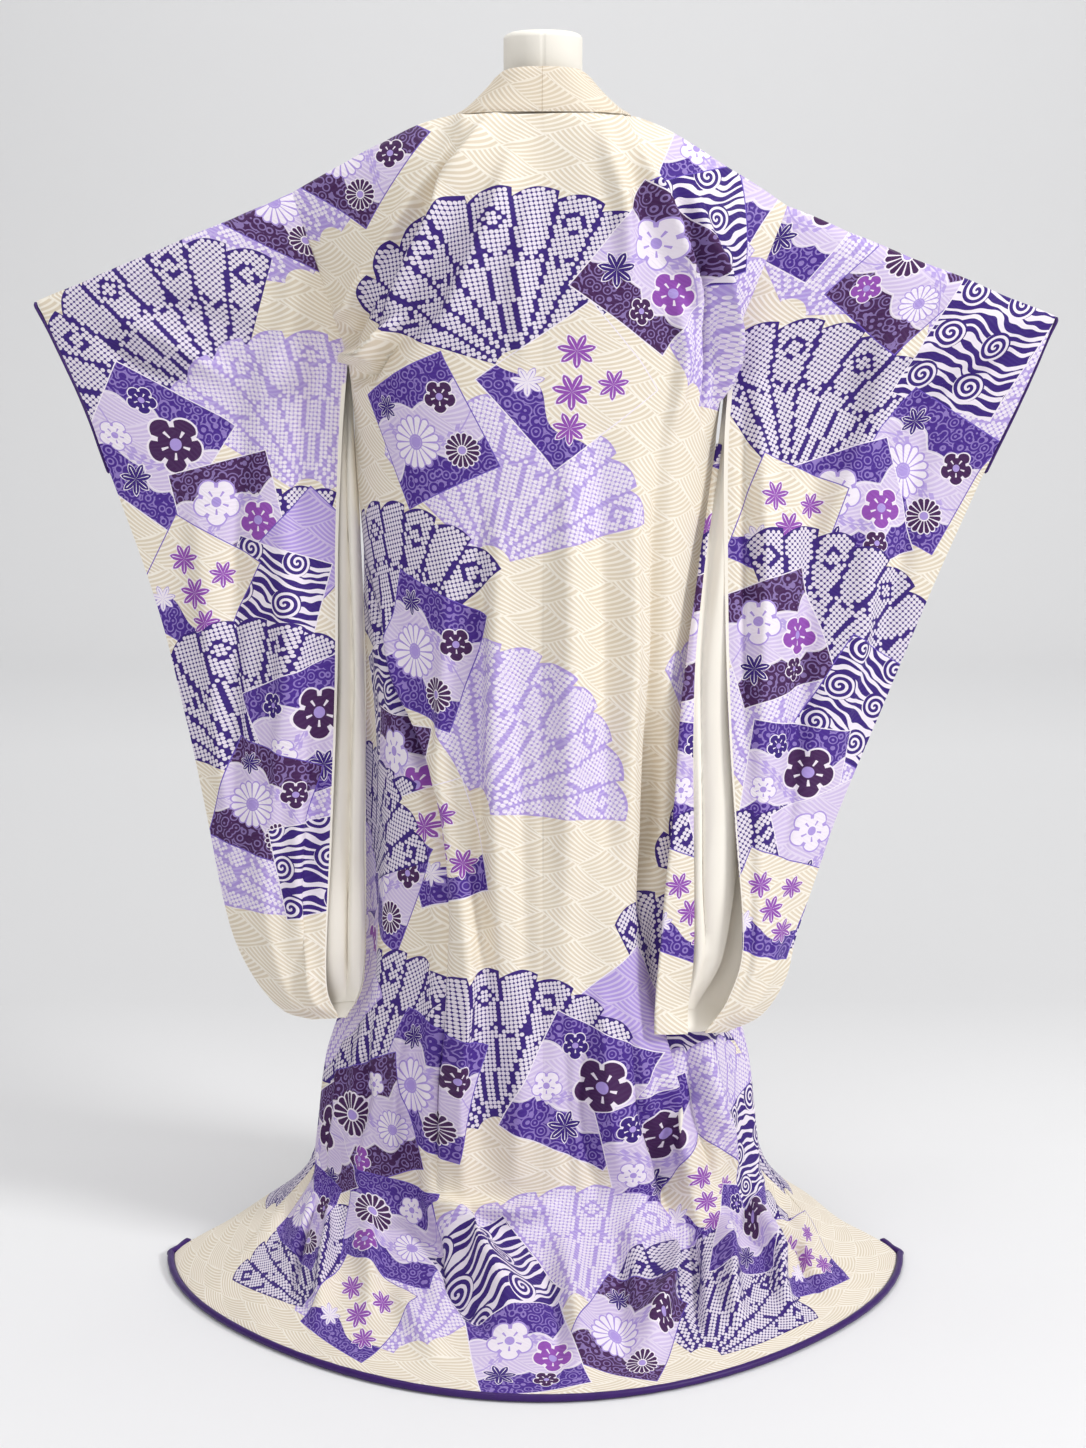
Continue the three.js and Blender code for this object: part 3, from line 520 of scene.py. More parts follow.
def body_point(side, up, place):
    """A point of the body below the underarm; place is the cloth width from the centre back."""
    up, place = np.broadcast_arrays(np.asarray(up, float), np.asarray(place, float))
    level = read(LEVELS, up)
    stops = np.array([0, HALF_BACK, HALF_BACK + FRONT, HALF_BACK + FRONT + OVERLAP])
    angles = [np.zeros_like(up), level["side"], level["join"], level["edge"]]
    k = (place > stops[1]).astype(int) + (place > stops[2]).astype(int)
    low = np.choose(k, angles[:3])
    high = np.choose(k, angles[1:])
    angle = np.radians(mix(low, high, (place - stops[k]) / (stops[k + 1] - stops[k])))
    flatter = 1 - HEM_DIP * np.sin(2 * angle) ** 2 * (1 - ease(0, 255, up))
    wide = (level["left"] if side < 0 else level["right"]) * flatter
    deep = np.where(np.cos(angle) > 0, level["back"], level["front"]) * flatter
    bulge = np.zeros_like(up)
    for i in np.flatnonzero(FOLDS["side"] == side):
        f = {name: FOLDS[name][i] for name in FOLDS}
        centre = f["place"] + f["drift"] * (1 - up / f["high"])
        fade = ease(f["low"], f["low"] + 220, up) * (1 - ease(f["high"] - 260, f["high"], up))
        bulge += f["depth"] * fade * np.exp(-(((place - centre) / f["width"]) ** 2))
    upright = ease(240, 360, up)
    ox, oy = np.sin(angle) * deep, -np.cos(angle) * wide
    size = np.hypot(ox, oy)
    slit = ARM_SLIT * ease(1228, TO_ARM, up)
    apart = np.where(
        place <= HALF_BACK,
        -slit * (place / HALF_BACK) ** 2,
        slit * (1 - (place - HALF_BACK) / FRONT) ** 2,
    )
    apart = np.where(place > HALF_BACK + FRONT, 0, apart)
    return pack(
        side * (wide * np.sin(angle) + ox / size * bulge * upright),
        level["y"] - deep * np.cos(angle) + oy / size * bulge * upright + apart,
        level["z"] + bulge * (1 - upright),
    )


def round_over(share, power=ROUND):
    return (1 - np.clip(share, 0, 1) ** power) ** (1 / power)


def back_point(side, across, share):
    low = body_point(side, TO_ARM, across * HALF_BACK)
    top = read(TOP_LEFT if side < 0 else TOP_RIGHT, across)
    curve = round_over(share, mix(1.3, ROUND, ease(0, NECK_SHARE, across)))
    blades = -6 * np.sin(np.pi * share) * (1 - across * across)
    return pack(
        mix(low[..., 0], side * top["x"], share),
        mix(top["y"], low[..., 1], curve) + blades,
        mix(low[..., 2], top["z"], share),
    )


def front_point(side, across, share):
    """across runs from the sleeve seam (1) to the edge that the collar covers."""
    to_edge = (1 - across) / (1 - NECK_SHARE)
    low = body_point(side, TO_ARM, HALF_BACK + 0.001 + to_edge * (FRONT - 0.002))
    top = read(TOP_LEFT if side < 0 else TOP_RIGHT, across)
    return pack(
        mix(low[..., 0], side * top["x"], share),
        mix(top["y"], low[..., 1], round_over(share)),
        mix(low[..., 2], top["z"], share),
    )


def overlap_width(up):
    up = np.asarray(up, float)
    corner = TIP_CUT * (1 - np.minimum(up / 30, 1)) ** 2
    return mix(OVERLAP, OVERLAP_TOP, ease(OVERLAP_FULL, TO_ARM, up)) - corner


def sleeve_point(side, down, across, layer):
    """A point of a sleeve: layer -1 is the back one and 1 the front one."""
    down, across = np.broadcast_arrays(np.asarray(down, float), np.asarray(across, float))
    outer = read(OUTER_LEFT if side < 0 else OUTER_RIGHT, down)
    if layer < 0:
        rows = BACK_INNER_LEFT if side < 0 else BACK_INNER_RIGHT
    else:
        rows = FRONT_INNER_LEFT if side < 0 else FRONT_INNER_RIGHT
    share = np.clip(1 - down / ARMPIT, 0, 1)
    seam = (back_point if layer < 0 else front_point)(side, np.ones_like(down), share)
    hang = read(rows, down)
    sewn = down <= ARMPIT
    ix = np.where(sewn, seam[..., 0] * side, hang["x"]) + ARM_SEAM
    iy = np.where(sewn, seam[..., 1], hang["y"])
    iz = np.where(sewn, seam[..., 2], hang["z"])
    top = round_over(1 - np.minimum(down / 0.06, 1))
    wrist = 8 * np.sin(np.pi * np.minimum(down / WRIST, 1)) ** 0.6
    closed = WALL / 2 + 0.4
    half = closed * np.minimum(1, top + 0.12) + np.maximum(wrist * ease(0.55, 1, across), 0)
    hollow = SLEEVE_BULGE * np.sin(np.pi * np.clip(across, 0, 1)) ** 1.1 * top * (1 - ease(0.93, 1, down))
    fold = np.zeros_like(down)
    for i in np.flatnonzero(SLEEVE_FOLDS["side"] == side):
        f = {name: SLEEVE_FOLDS[name][i] for name in SLEEVE_FOLDS}
        centre = f["across"] + f["drift"] * (down - f["low"])
        fade = ease(f["low"], f["low"] + 0.15, down) * (1 - ease(f["high"] - 0.12, f["high"], down))
        fold -= f["depth"] * fade * np.exp(-(((across - centre) / f["width"]) ** 2))
    y = mix(iy, outer["y"], across) + layer * (half * ease(0, 0.06, across) + hollow) + fold
    return pack(side * mix(ix, outer["x"], across), y, mix(iz, outer["z"], across))


def along(*stops):
    """Values between stops given as value, count, value, count, value."""
    values = [stops[0]]
    for low, count, high in zip(stops[:-2:2], stops[1::2], stops[2::2]):
        values.extend(np.linspace(low, high, int(count) + 1)[1:])
    return np.array(values, float)


UPS = along(SEAM, 2, 8, 40, 250, 34, 420, 150, TO_ARM)
ARC = np.linspace(math.asin(0.9 ** (ROUND / 2)), math.pi / 2, 12)[:-1]
SHARES = np.concatenate([np.linspace(0.035, 0.88, 58), np.sin(ARC) ** (2 / ROUND)])
ACROSS = along(0, 30, NECK_SHARE, 44, 1)
NECK_COLUMN = 30
DOWNS = np.concatenate([np.linspace(0, 1, 15)[1:] ** 2 * 0.06, np.linspace(0.06, 1, 160)[1:]])
SLEEVE_ACROSS = np.linspace(0, 1, 56)


def unit(v):
    return v / np.maximum(np.linalg.norm(v, axis=-1, keepdims=True), 1e-12)


class Cloth:
    """Cloth being laid out in rows: its middle points, its patches and their places in the flat cloth."""

    def __init__(self):
        # turned: patches that show the lining; front: first and last point of the layer facing away;
        # moved: the first patch whose print is shifted, and by how much
        self.turned = []
        self.front = None
        self.moved = None
        self.points = []
        self.quads = []
        self.flats = []
        self.count = 0

    def row(self, points, flat):
        points = np.asarray(points, float).reshape(-1, 3)
        ids = self.count + np.arange(len(points))
        self.points.append(points)
        self.count += len(points)
        return ids, np.asarray(flat, float).reshape(-1, 2)

    def join(self, low, high):
        (a, flat_a), (b, flat_b) = low, high
        self.quads.append(np.stack([a[:-1], a[1:], b[1:], b[:-1]], 1))
        self.flats.append(np.stack([flat_a[:-1], flat_a[1:], flat_b[1:], flat_b[:-1]], 1))

    def rows(self, points, flats):
        """Whole rows of points joined one to the next."""
        made = [self.row(p, f) for p, f in zip(points, flats)]
        for low, high in zip(made[:-1], made[1:]):
            self.join(low, high)
        return made


def press(points, places, normals, creases, lean):
    """Raises ridges and sinks creases by their lines in the flat cloth. lean is 1 or -1 for each point."""
    height = np.zeros(len(points))
    for line, widths, depth in creases:
        line = np.array(line, float)
        reach = 3 * max(widths)
        near = np.all((places > line.min(0) - reach) & (places < line.max(0) + reach), axis=1)
        use = places[near]
        best = np.full(len(use), 1e9)
        signed = np.zeros(len(use))
        run = np.zeros(len(use))
        lengths = np.linalg.norm(np.diff(line, axis=0), axis=1)
        start = 0.0
        for a, b, length in zip(line[:-1], line[1:], lengths):
            way = (b - a) / length
            rel = use - a
            t = np.clip(rel @ way, 0, length)
            off = rel - t[:, None] * way
            d = np.hypot(off[:, 0], off[:, 1])
            closer = d < best
            best[closer] = d[closer]
            signed[closer] = (rel[:, 0] * way[1] - rel[:, 1] * way[0])[closer]
            run[closer] = ((start + t) / lengths.sum())[closer]
            start += length
        width = np.where(signed > 0, widths[0], widths[1])
        fade = np.sin(np.pi * np.clip(run, 0.02, 0.98)) ** 0.7
        height[near] += depth * np.exp(-((best / width) ** 2)) * fade
    x, y = places.T
    height += UNEVEN * np.sin(x / 41 + 1.7 * np.sin(y / 97)) * np.sin(y / 73 + 1.3 * np.sin(x / 59))
    return points + normals * (height * lean)[:, None] * settings().relief


def point_normals(points, quads):
    normals = np.zeros_like(points)
    n = np.cross(points[quads[:, 2]] - points[quads[:, 0]], points[quads[:, 3]] - points[quads[:, 1]])
    for i in range(4):
        np.add.at(normals, quads[:, i], n)
    return unit(normals)


def make_object(name, points, faces, materials, picks=None, corners=None, borders=None):
    """A mesh object in metres from points in millimetres."""
    mesh = bpy.data.meshes.new(name)
    mesh.from_pydata((np.asarray(points) * MM).tolist(), [], [list(f) for f in faces])
    for material in materials:
        mesh.materials.append(material)
    if picks is not None:
        mesh.polygons.foreach_set("material_index", np.asarray(picks, np.int32))
    if corners is not None:
        layer = mesh.uv_layers.new(name="flat")
        layer.data.foreach_set("uv", (np.asarray(corners) * MM).astype(np.float32).ravel())
    mesh.polygons.foreach_set("use_smooth", np.ones(len(mesh.polygons), bool))
    mesh.validate()
    mesh.update()
    if borders is not None:
        ends = np.zeros(2 * len(mesh.edges), np.int64)
        mesh.edges.foreach_get("vertices", ends)
        keys = np.sort(ends.reshape(-1, 2), axis=1) @ (len(points), 1)
        wanted = np.sort(borders, axis=1) @ (len(points), 1)
        mesh.edges.foreach_set("use_edge_sharp", np.isin(keys, wanted))
    made = bpy.data.objects.new(name, mesh)
    bpy.context.scene.collection.objects.link(made)
    return made


def shell(name, cloth, side, thick, outside, inside, rim=0.75, creases=(), print_rows=None):
    """A closed thin cloth: printed outside, lined inside, thinner along its edges."""
    points = np.concatenate(cloth.points)
    quads = np.concatenate(cloth.quads)
    flats = np.concatenate(cloth.flats)
    if side < 0:
        quads, flats = quads[:, ::-1], flats[:, ::-1]
    normals = point_normals(points, quads)
    count = len(points)
    if creases:
        places = np.zeros((count, 2))
        places[quads.ravel()] = flats.reshape(-1, 2)
        lean = np.ones(count)
        if cloth.front:
            lean[slice(*cloth.front)] = -1
        points = press(points, places, normals, creases, lean)
        normals = point_normals(points, quads)
    if cloth.moved:
        first, shift = cloth.moved
        flats[first:, :, 0] += shift
    starts = quads.ravel()
    ends = np.roll(quads, -1, axis=1).ravel()
    keys = starts * count + ends
    open_edges = ~np.isin(keys, ends * count + starts)
    factor = np.ones(count)
    factor[starts[open_edges]] = rim
    half = (thick / 2 * factor)[:, None]
    a, b = starts[open_edges], ends[open_edges]
    rims = np.stack([b, a, a + count, b + count], 1)
    flat_a = flats.reshape(-1, 2)[open_edges]
    flat_b = np.roll(flats, -1, axis=1).reshape(-1, 2)[open_edges]
    faces = np.concatenate([quads, quads[:, ::-1] + count, rims])
    corners = np.concatenate([flats, flats[:, ::-1], np.stack([flat_b, flat_a, flat_a, flat_b], 1)])
    picks = np.zeros(len(faces), int)
    picks[len(quads) : 2 * len(quads)] = 1
    picks[cloth.turned] = 1
    made = make_object(
        name, np.concatenate([points + normals * half, points - normals * half]), faces.tolist(),
        [outside, inside], picks, corners, np.concatenate([rims[:, :2], rims[:, 2:]]),
    )
    if print_rows is not None:
        lay_print(made, corners.mean(1), picks == 0, print_rows)
    return made


def lay_print(made, centres, printed, rows):
    """Tells each face which shapes of the design may show on it, the topmost first."""
    count = len(centres)
    spots = np.zeros((LAYERS, count, 3))
    axes = np.zeros((LAYERS, count, 3))
    kinds = np.zeros((LAYERS, count, 3))
    axes[:, :, 0] = 1
    blooms = np.zeros((BLOOMS, count, 3))
    petals = np.zeros((BLOOMS, count, 3))
    filled = np.where(printed, 0, LAYERS)
    bloomed = np.where(printed, 0, BLOOMS)
    margin = 8.0
    for number in range(len(rows), 0, -1):
        shape, fill, across, up, size, turn = rows[number - 1]
        cos, sin = math.cos(math.radians(turn)), math.sin(math.radians(turn))
        d = centres - (across, up)
        px, py = d[:, 0] * cos - d[:, 1] * sin, d[:, 0] * sin + d[:, 1] * cos
        if shape == FAN:
            r, angle = np.hypot(px, py), np.abs(np.arctan2(px, py))
            edge = np.minimum(size - r, (FAN_HALF - angle) * np.maximum(r, 20))
            deep = np.minimum(edge, r - FAN_HOLE * size) - 0.08 * size
        else:
            edge = np.minimum(size / 2 - np.abs(px), size / 2 * CARD_TALL - np.abs(py))
            deep = edge
        touched = (edge > -margin) & (filled < LAYERS)
        slots = filled[touched]
        spots[slots, touched.nonzero()[0]] = (across * MM, up * MM, size * MM)
        axes[slots, touched.nonzero()[0]] = (cos, sin, number)
        kinds[slots, touched.nonzero()[0]] = (shape, fill, 0)
        filled[touched] += 1
        filled[touched & (deep > margin)] = LAYERS
        if shape == CARD and fill in (CLOUD, MIST, PLUM, LEAVES):
            bunch = STARS if fill == LEAVES else BUNCHES[number % len(BUNCHES)]
            for fx, fy, radius, count_petals, ink in bunch:
                bx = across + size * (fx * cos + fy * sin)
                by = up + size * (fy * cos - fx * sin)
                near = np.hypot(centres[:, 0] - bx, centres[:, 1] - by) < radius * size + margin
                near &= (bloomed < BLOOMS) & touched
                slots = bloomed[near]
                blooms[slots, near.nonzero()[0]] = (bx * MM, by * MM, radius * size * MM)
                petals[slots, near.nonzero()[0]] = (count_petals, ink, number)
                bloomed[near] += 1
    groups = (("spot", spots), ("axis", axes), ("kind", kinds), ("bloom", blooms), ("petal", petals))
    for name, values in groups:
        for k, layer in enumerate(values):
            attribute = made.data.attributes.new(f"{name}_{k}", "FLOAT_VECTOR", "FACE")
            attribute.data.foreach_set("vector", layer.astype(np.float32).ravel())


# Shader building

class Wire:
    """A value in a material. Python's operators on it add Math nodes."""

    def __init__(self, paint, socket):
        self.paint = paint
        self.socket = socket

    def __add__(self, other):
        return self.paint.math("ADD", self, other)

    def __radd__(self, other):
        return self.paint.math("ADD", other, self)

    def __sub__(self, other):
        return self.paint.math("SUBTRACT", self, other)

    def __rsub__(self, other):
        return self.paint.math("SUBTRACT", other, self)

    def __mul__(self, other):
        return self.paint.math("MULTIPLY", self, other)

    def __rmul__(self, other):
        return self.paint.math("MULTIPLY", other, self)

    def __truediv__(self, other):
        return self.paint.math("DIVIDE", self, other)

    def __rtruediv__(self, other):
        return self.paint.math("DIVIDE", other, self)

    def __lt__(self, other):
        return self.paint.math("LESS_THAN", self, other)

    def __gt__(self, other):
        return self.paint.math("GREATER_THAN", self, other)

    def __abs__(self):
        return self.paint.math("ABSOLUTE", self)


class Paint:
    """A material and the nodes that it is mixed from."""

    def __init__(self, name, **shader):
        self.material = bpy.data.materials.new(name)
        self.material.use_nodes = True
        self.tree = self.material.node_tree
        self.tree.nodes.clear()
        sockets = {key.replace("_", " "): value for key, value in shader.items()}
        self.shader = self.node("ShaderNodeBsdfPrincipled", {}, sockets)
        self.node("ShaderNodeOutputMaterial", {}, {"Surface": Wire(self, self.shader.outputs[0])})

    def node(self, kind, settings, sockets):
        """Adds a node: its settings first, then the values or links of its sockets."""
        made = self.tree.nodes.new(kind)
        for key, value in settings.items():
            if key == "stops":
                ramp = made.color_ramp
                while len(ramp.elements) < len(value):
                    ramp.elements.new(1.0)
                for element, (place, colour) in zip(ramp.elements, value):
                    element.position = place
                    element.color = (*colour, 1.0)
            else:
                setattr(made, key, value)
        for key, value in sockets.items():
            if isinstance(value, Wire):
                self.tree.links.new(value.socket, made.inputs[key])
            elif made.inputs[key].type == "RGBA":
                made.inputs[key].default_value = (*value, 1.0)
            else:
                made.inputs[key].default_value = value
        return made

    def math(self, operation, a, b=0.0, c=0.0):
        sockets = {0: a, 1: b, 2: c}
        return Wire(self, self.node("ShaderNodeMath", {"operation": operation}, sockets).outputs[0])

    def least(self, value, *others):
        for other in others:
            value = self.math("MINIMUM", value, other)
        return value

    def most(self, value, *others):
        for other in others:
            value = self.math("MAXIMUM", value, other)
        return value

    def same(self, a, b):
        return self.math("COMPARE", a, b, 0.5)

    def split(self, vector):
        made = self.node("ShaderNodeSeparateXYZ", {}, {0: vector})
        return [Wire(self, made.outputs[i]) for i in range(3)]

    def join(self, x, y, z=0.0):
        return Wire(self, self.node("ShaderNodeCombineXYZ", {}, {0: x, 1: y, 2: z}).outputs[0])

    def attribute(self, name):
        return Wire(self, self.node("ShaderNodeAttribute", {"attribute_name": name}, {}).outputs["Vector"])

    def flat(self):
        return Wire(self, self.node("ShaderNodeUVMap", {"uv_map": "flat"}, {}).outputs[0])

    def place(self):
        return Wire(self, self.node("ShaderNodeTexCoord", {}, {}).outputs["Object"])

    def noise(self, vector, scale, detail=2.0, rough=0.5):
        sockets = {"Vector": vector, "Scale": scale, "Detail": detail, "Roughness": rough}
        return Wire(self, self.node("ShaderNodeTexNoise", {}, sockets).outputs["Fac"])

    def vector_mix(self, factor, a, b):
        made = self.node("ShaderNodeMix", {"data_type": "VECTOR"}, {0: factor, 4: a, 5: b})
        return Wire(self, made.outputs[1])

    def colour(self, factor, a, b, blend="MIX"):
        kind = {"data_type": "RGBA", "blend_type": blend}
        return Wire(self, self.node("ShaderNodeMix", kind, {0: factor, 6: a, 7: b}).outputs[2])

    def tint(self, factor, a, b):
        return self.colour(factor, a, b, "MULTIPLY")

    def bump(self, height, strength, distance):
        sockets = {"Height": height, "Strength": strength, "Distance": distance}
        return Wire(self, self.node("ShaderNodeBump", {}, sockets).outputs[0])

    def finish(self, **sockets):
        for key, value in sockets.items():
            self.tree.links.new(value.socket, self.shader.inputs[key.replace("_", " ")])
        return self.material


def srgb(r, g, b):
    """A colour given as it looks on a screen, 0 to 255, as the linear values of a shader."""
    shares = (r / 255, g / 255, b / 255)
    return tuple(c / 12.92 if c <= 0.04045 else ((c + 0.055) / 1.055) ** 2.4 for c in shares)


CREAM = srgb(222, 209, 188)
CREAM_LINE = srgb(250, 245, 235)
# Cream of the woven bundles that run one way: painted shade where the weave's sheen falls away
CREAM_PAINTED_SHADE = srgb(212, 198, 172)
PURPLE = srgb(44, 2, 116)
VIOLET = srgb(104, 78, 182)
LAVENDER = srgb(170, 148, 216)
LILAC = srgb(204, 188, 224)
WHITE_LILAC = srgb(238, 230, 240)
SCROLL = srgb(62, 24, 136)
PLUM_INK = srgb(58, 4, 78)
MAGENTA = srgb(142, 70, 172)
# Darker and lighter satin of the rolls: painted shade and painted light of their puckered sheen
ROLL_SHADE = srgb(38, 4, 78)
ROLL_LIGHT = srgb(62, 18, 110)


def figured(paint, flat):
    """Woven figure of the silk: bundles of fine curved lines laid like parquet.

    Returns its height and which of the two ways a bundle runs.
    """
    x, y, _ = paint.split(flat)
    sway = paint.noise(flat, 7.0, 1.0) - 0.5
    drift = paint.noise(flat, 5.0, 1.0) - 0.5
    (ax, ay), (bx, by) = WEAVE_FALL, WEAVE_RISE
    cross = ax * by - bx * ay
    u = x * (by / cross) - y * (bx / cross) + sway * 0.34
    v = y * (ax / cross) - x * (ay / cross) + drift * 0.34
    part_u, part_v = paint.math("FRACT", u), paint.math("FRACT", v)
    check = paint.math("PINGPONG", paint.math("FLOOR", u) + paint.math("FLOOR", v), 1.0)
    bow_u, bow_v = part_u - 0.5, part_v - 0.5
    falling = v - bow_u * bow_u * 0.32
    rising = u + bow_v * bow_v * 0.32
    count = WEAVE_LINES * 2 * math.pi
    lines = paint.math("SINE", (falling * (1.0 - check) + rising * check) * count) * 0.5 + 0.5
    edge = paint.least(0.5 - abs(bow_u), 0.5 - abs(bow_v))
    border = paint.math("SMOOTH_MAX", 1.0 - edge * 34.0, 0.0, 0.1)
    raised = paint.math("SMOOTH_MAX", (lines - 0.34) * 1.9, 0.0, 0.1)
    return paint.least(paint.most(raised, border), 1.0), check


def fan_lobe(paint, angle):
    """The edge of a fan by the angle from its middle, as a share of its radius."""
    spread = (angle / FAN_HALF * 0.5 + 0.5) * FAN_RIBS
    inside = paint.math("FRACT", spread)
    return 0.925 + inside * 0.045 + paint.math("SINE", inside * math.pi) * 0.03, spread, inside


def laid_shape(paint, x, y):
    """The topmost shape of the design at a place of the flat cloth.

    Returns whether there is one, the place in it with its size, and its kind, fill and number.
    """
    m = paint.math
    covered = 0.0
    local = paint.join(0.0, 0.0, 0.0)
    info = paint.join(0.0, 0.0, 0.0)
    for k in range(LAYERS - 1, -1, -1):
        cx, cy, size = paint.split(paint.attribute(f"spot_{k}"))
        cos, sin, number = paint.split(paint.attribute(f"axis_{k}"))
        kind, fill, _ = paint.split(paint.attribute(f"kind_{k}"))
        dx, dy = x - cx, y - cy
        px, py = dx * cos - dy * sin, dx * sin + dy * cos
        r = m("SQRT", px * px + py * py)
        angle = m("ARCTAN2", px, py)
        lobe, _, _ = fan_lobe(paint, angle)
        fan = (r < size * lobe) * (abs(angle) < FAN_HALF) * (r > size * FAN_HOLE)
        card = (abs(px) < size * 0.5) * (abs(py) < size * (0.5 * CARD_TALL))
        on = kind * fan + (1.0 - kind) * card
        covered = paint.most(on, covered)
        local = paint.vector_mix(on, local, paint.join(px, py, size))
        info = paint.vector_mix(on, info, paint.join(kind, fill, number))
    return covered, paint.split(local), paint.split(info)


def to_card_edge(paint, x, y, size):
    return paint.least(size * 0.5 - abs(x), size * (0.5 * CARD_TALL) - abs(y))


def tied_dots(paint, kind, px, py, size):
    """A square of dots of tied dyeing, left out along ribs, steps and edges."""
    m = paint.math
    rib_wide = 2 * FAN_HALF / FAN_RIBS
    qx, qy = m("FLOOR", px / DOT_PITCH) + 0.5, m("FLOOR", py / DOT_PITCH) + 0.5
    ox, oy = px / DOT_PITCH - qx, py / DOT_PITCH - qy
    gx, gy = qx * DOT_PITCH, qy * DOT_PITCH
    dot = m("SQRT", ox * ox + oy * oy) < 0.475
    # lines of a fan: its ribs, a stepped ring, a ring of diamonds and its rim
    rc = m("SQRT", gx * gx + gy * gy)
    lobe, spread, part = fan_lobe(paint, m("ARCTAN2", gx, gy))
    rib = (0.5 - abs(part - 0.5)) * rc * rib_wide
    odd = m("PINGPONG", m("FLOOR", spread), 1.0)
    ring = abs(rc - size * (0.58 + abs(part - 0.5) * 0.2))
    diamonds = abs(abs(rc - size * 0.82) + abs(part - 0.5) * (rc * rib_wide) - size * 0.06) + odd
    fan_line = paint.least(ring, diamonds, rib, size * lobe - rc)
    # lines of a card: bands in steps, and its edge
    band = m("FRACT", gx / size * 2.6 + 0.5)
    band_x = abs(band - 0.5) * size / 2.6
    step_y = gy + (band > 0.5) * size * 0.14
    band_y = abs(m("FRACT", step_y / size * 2.2 + 0.3) - 0.5) * size / 2.2
    card_line = paint.least(band_x, band_y, to_card_edge(paint, gx, gy, size))
    clear = kind * fan_line + (1.0 - kind) * card_line
    narrowest = kind * (0.0016 + rc / size * 0.0012) + (1.0 - kind) * 0.0028
    return dot * (clear > narrowest)


def running_water(paint, flat, px, py):
    """Lines of running water with a few whirls in it."""
    m = paint.math
    warp = paint.noise(flat, 26.0, 1.0) - 0.5
    stream = (py + m("SINE", px * 44.0) * 0.007 + warp * 0.03) / WATER_PITCH
    swell = abs(m("SINE", px * 36.0 + m("FLOOR", stream) * 2.1))
    water = abs(m("FRACT", stream) - 0.5) < swell * 0.3 + 0.08
    wx = (m("FRACT", px / WHIRL_WIDE + 0.2) - 0.5) * WHIRL_WIDE
    wy = (m("FRACT", py / WHIRL_TALL + 0.35) - 0.5) * WHIRL_TALL
    whirl = m("SQRT", wx * wx + wy * wy)
    coil = m("FRACT", whirl / 0.0072 - m("ARCTAN2", wx, wy) / (2 * math.pi)) < 0.56
    inside = whirl < 0.0175
    return inside * coil + (1.0 - inside) * water


def flower_stems(paint, px, py, size, number):
    """Thin bent stems with a row of small leaves."""
    m = paint.math
    sway = py / size - m("SINE", px / size * 5.0 + number) * 0.17
    step = m("FRACT", px / size * 11.0) - 0.5
    leaflet = (abs(abs(sway) - 0.035) < 0.03 * (1.0 - abs(step) * 2.4)) * (abs(px / size) < 0.38)
    return paint.most(abs(sway) < 0.008, leaflet)


def flowers(paint, x, y, number):
    """Flowers, each on its own card only. Returns where they are and their colour."""
    m = paint.math
    user = settings()
    bloom = paint.join(9.0, 9.0, 1.0)
    make = paint.join(5.0, 0.0, -1.0)
    for k in range(BLOOMS - 1, -1, -1):
        bx, by, radius = paint.split(paint.attribute(f"bloom_{k}"))
        dx, dy = x - bx, y - by
        near = m("SQRT", dx * dx + dy * dy) < radius
        bloom = paint.vector_mix(near, bloom, paint.join(dx, dy, radius))
        make = paint.vector_mix(near, make, paint.attribute(f"petal_{k}"))
    dx, dy, radius = paint.split(bloom)
    petals, ink, owner = paint.split(make)
    far = m("SQRT", dx * dx + dy * dy) / radius
    turn = m("FRACT", m("ARCTAN2", dx, dy) * petals / (2 * math.pi))
    side = abs(turn - 0.5) * 2.0
    aster = petals > 8.0
    leaf = (petals > 6.0) * (1.0 - aster)
    reach = 0.97 - side * side * (0.24 - aster * 0.1) - leaf * side * 0.3
    there = (far < reach) * paint.same(number, owner)
    # lines between and along the petals, round the heart and inside a round flower
    gap = (side > 0.8 - aster * 0.06) * (far > 0.25) * (1.0 - leaf)
    vein = leaf * (side < 0.09) * (far < 0.75)
    ring = abs(far - reach + 0.03) < 0.04
    heart_ring = (abs(far - 0.24) < 0.035) * (1.0 - leaf)
    lines = paint.most(gap, ring, heart_ring, vein)
    inner = (far < 0.56) * (1.0 - aster) * (1.0 - leaf)
    inner_side = abs(m("FRACT", turn + 0.5) - 0.5) * 2.0
    inner_gap = inner * (inner_side > 0.84) * (far > 0.27) * (far < 0.5)
    lines = paint.most(lines * (1.0 - inner), inner_gap)
    colour = PLUM_INK
    for code, tone in ((1.0, user.purple), (2.0, user.pale), (3.0, MAGENTA)):
        colour = paint.colour(paint.same(ink, code), colour, tone)
    line_colour = paint.colour(paint.same(ink, 2.0), user.pale, user.lavender)
    colour = paint.colour(lines, colour, line_colour)
    heart = (far < 0.2) * (1.0 - leaf)
    return there, paint.colour(heart, colour, user.lavender)


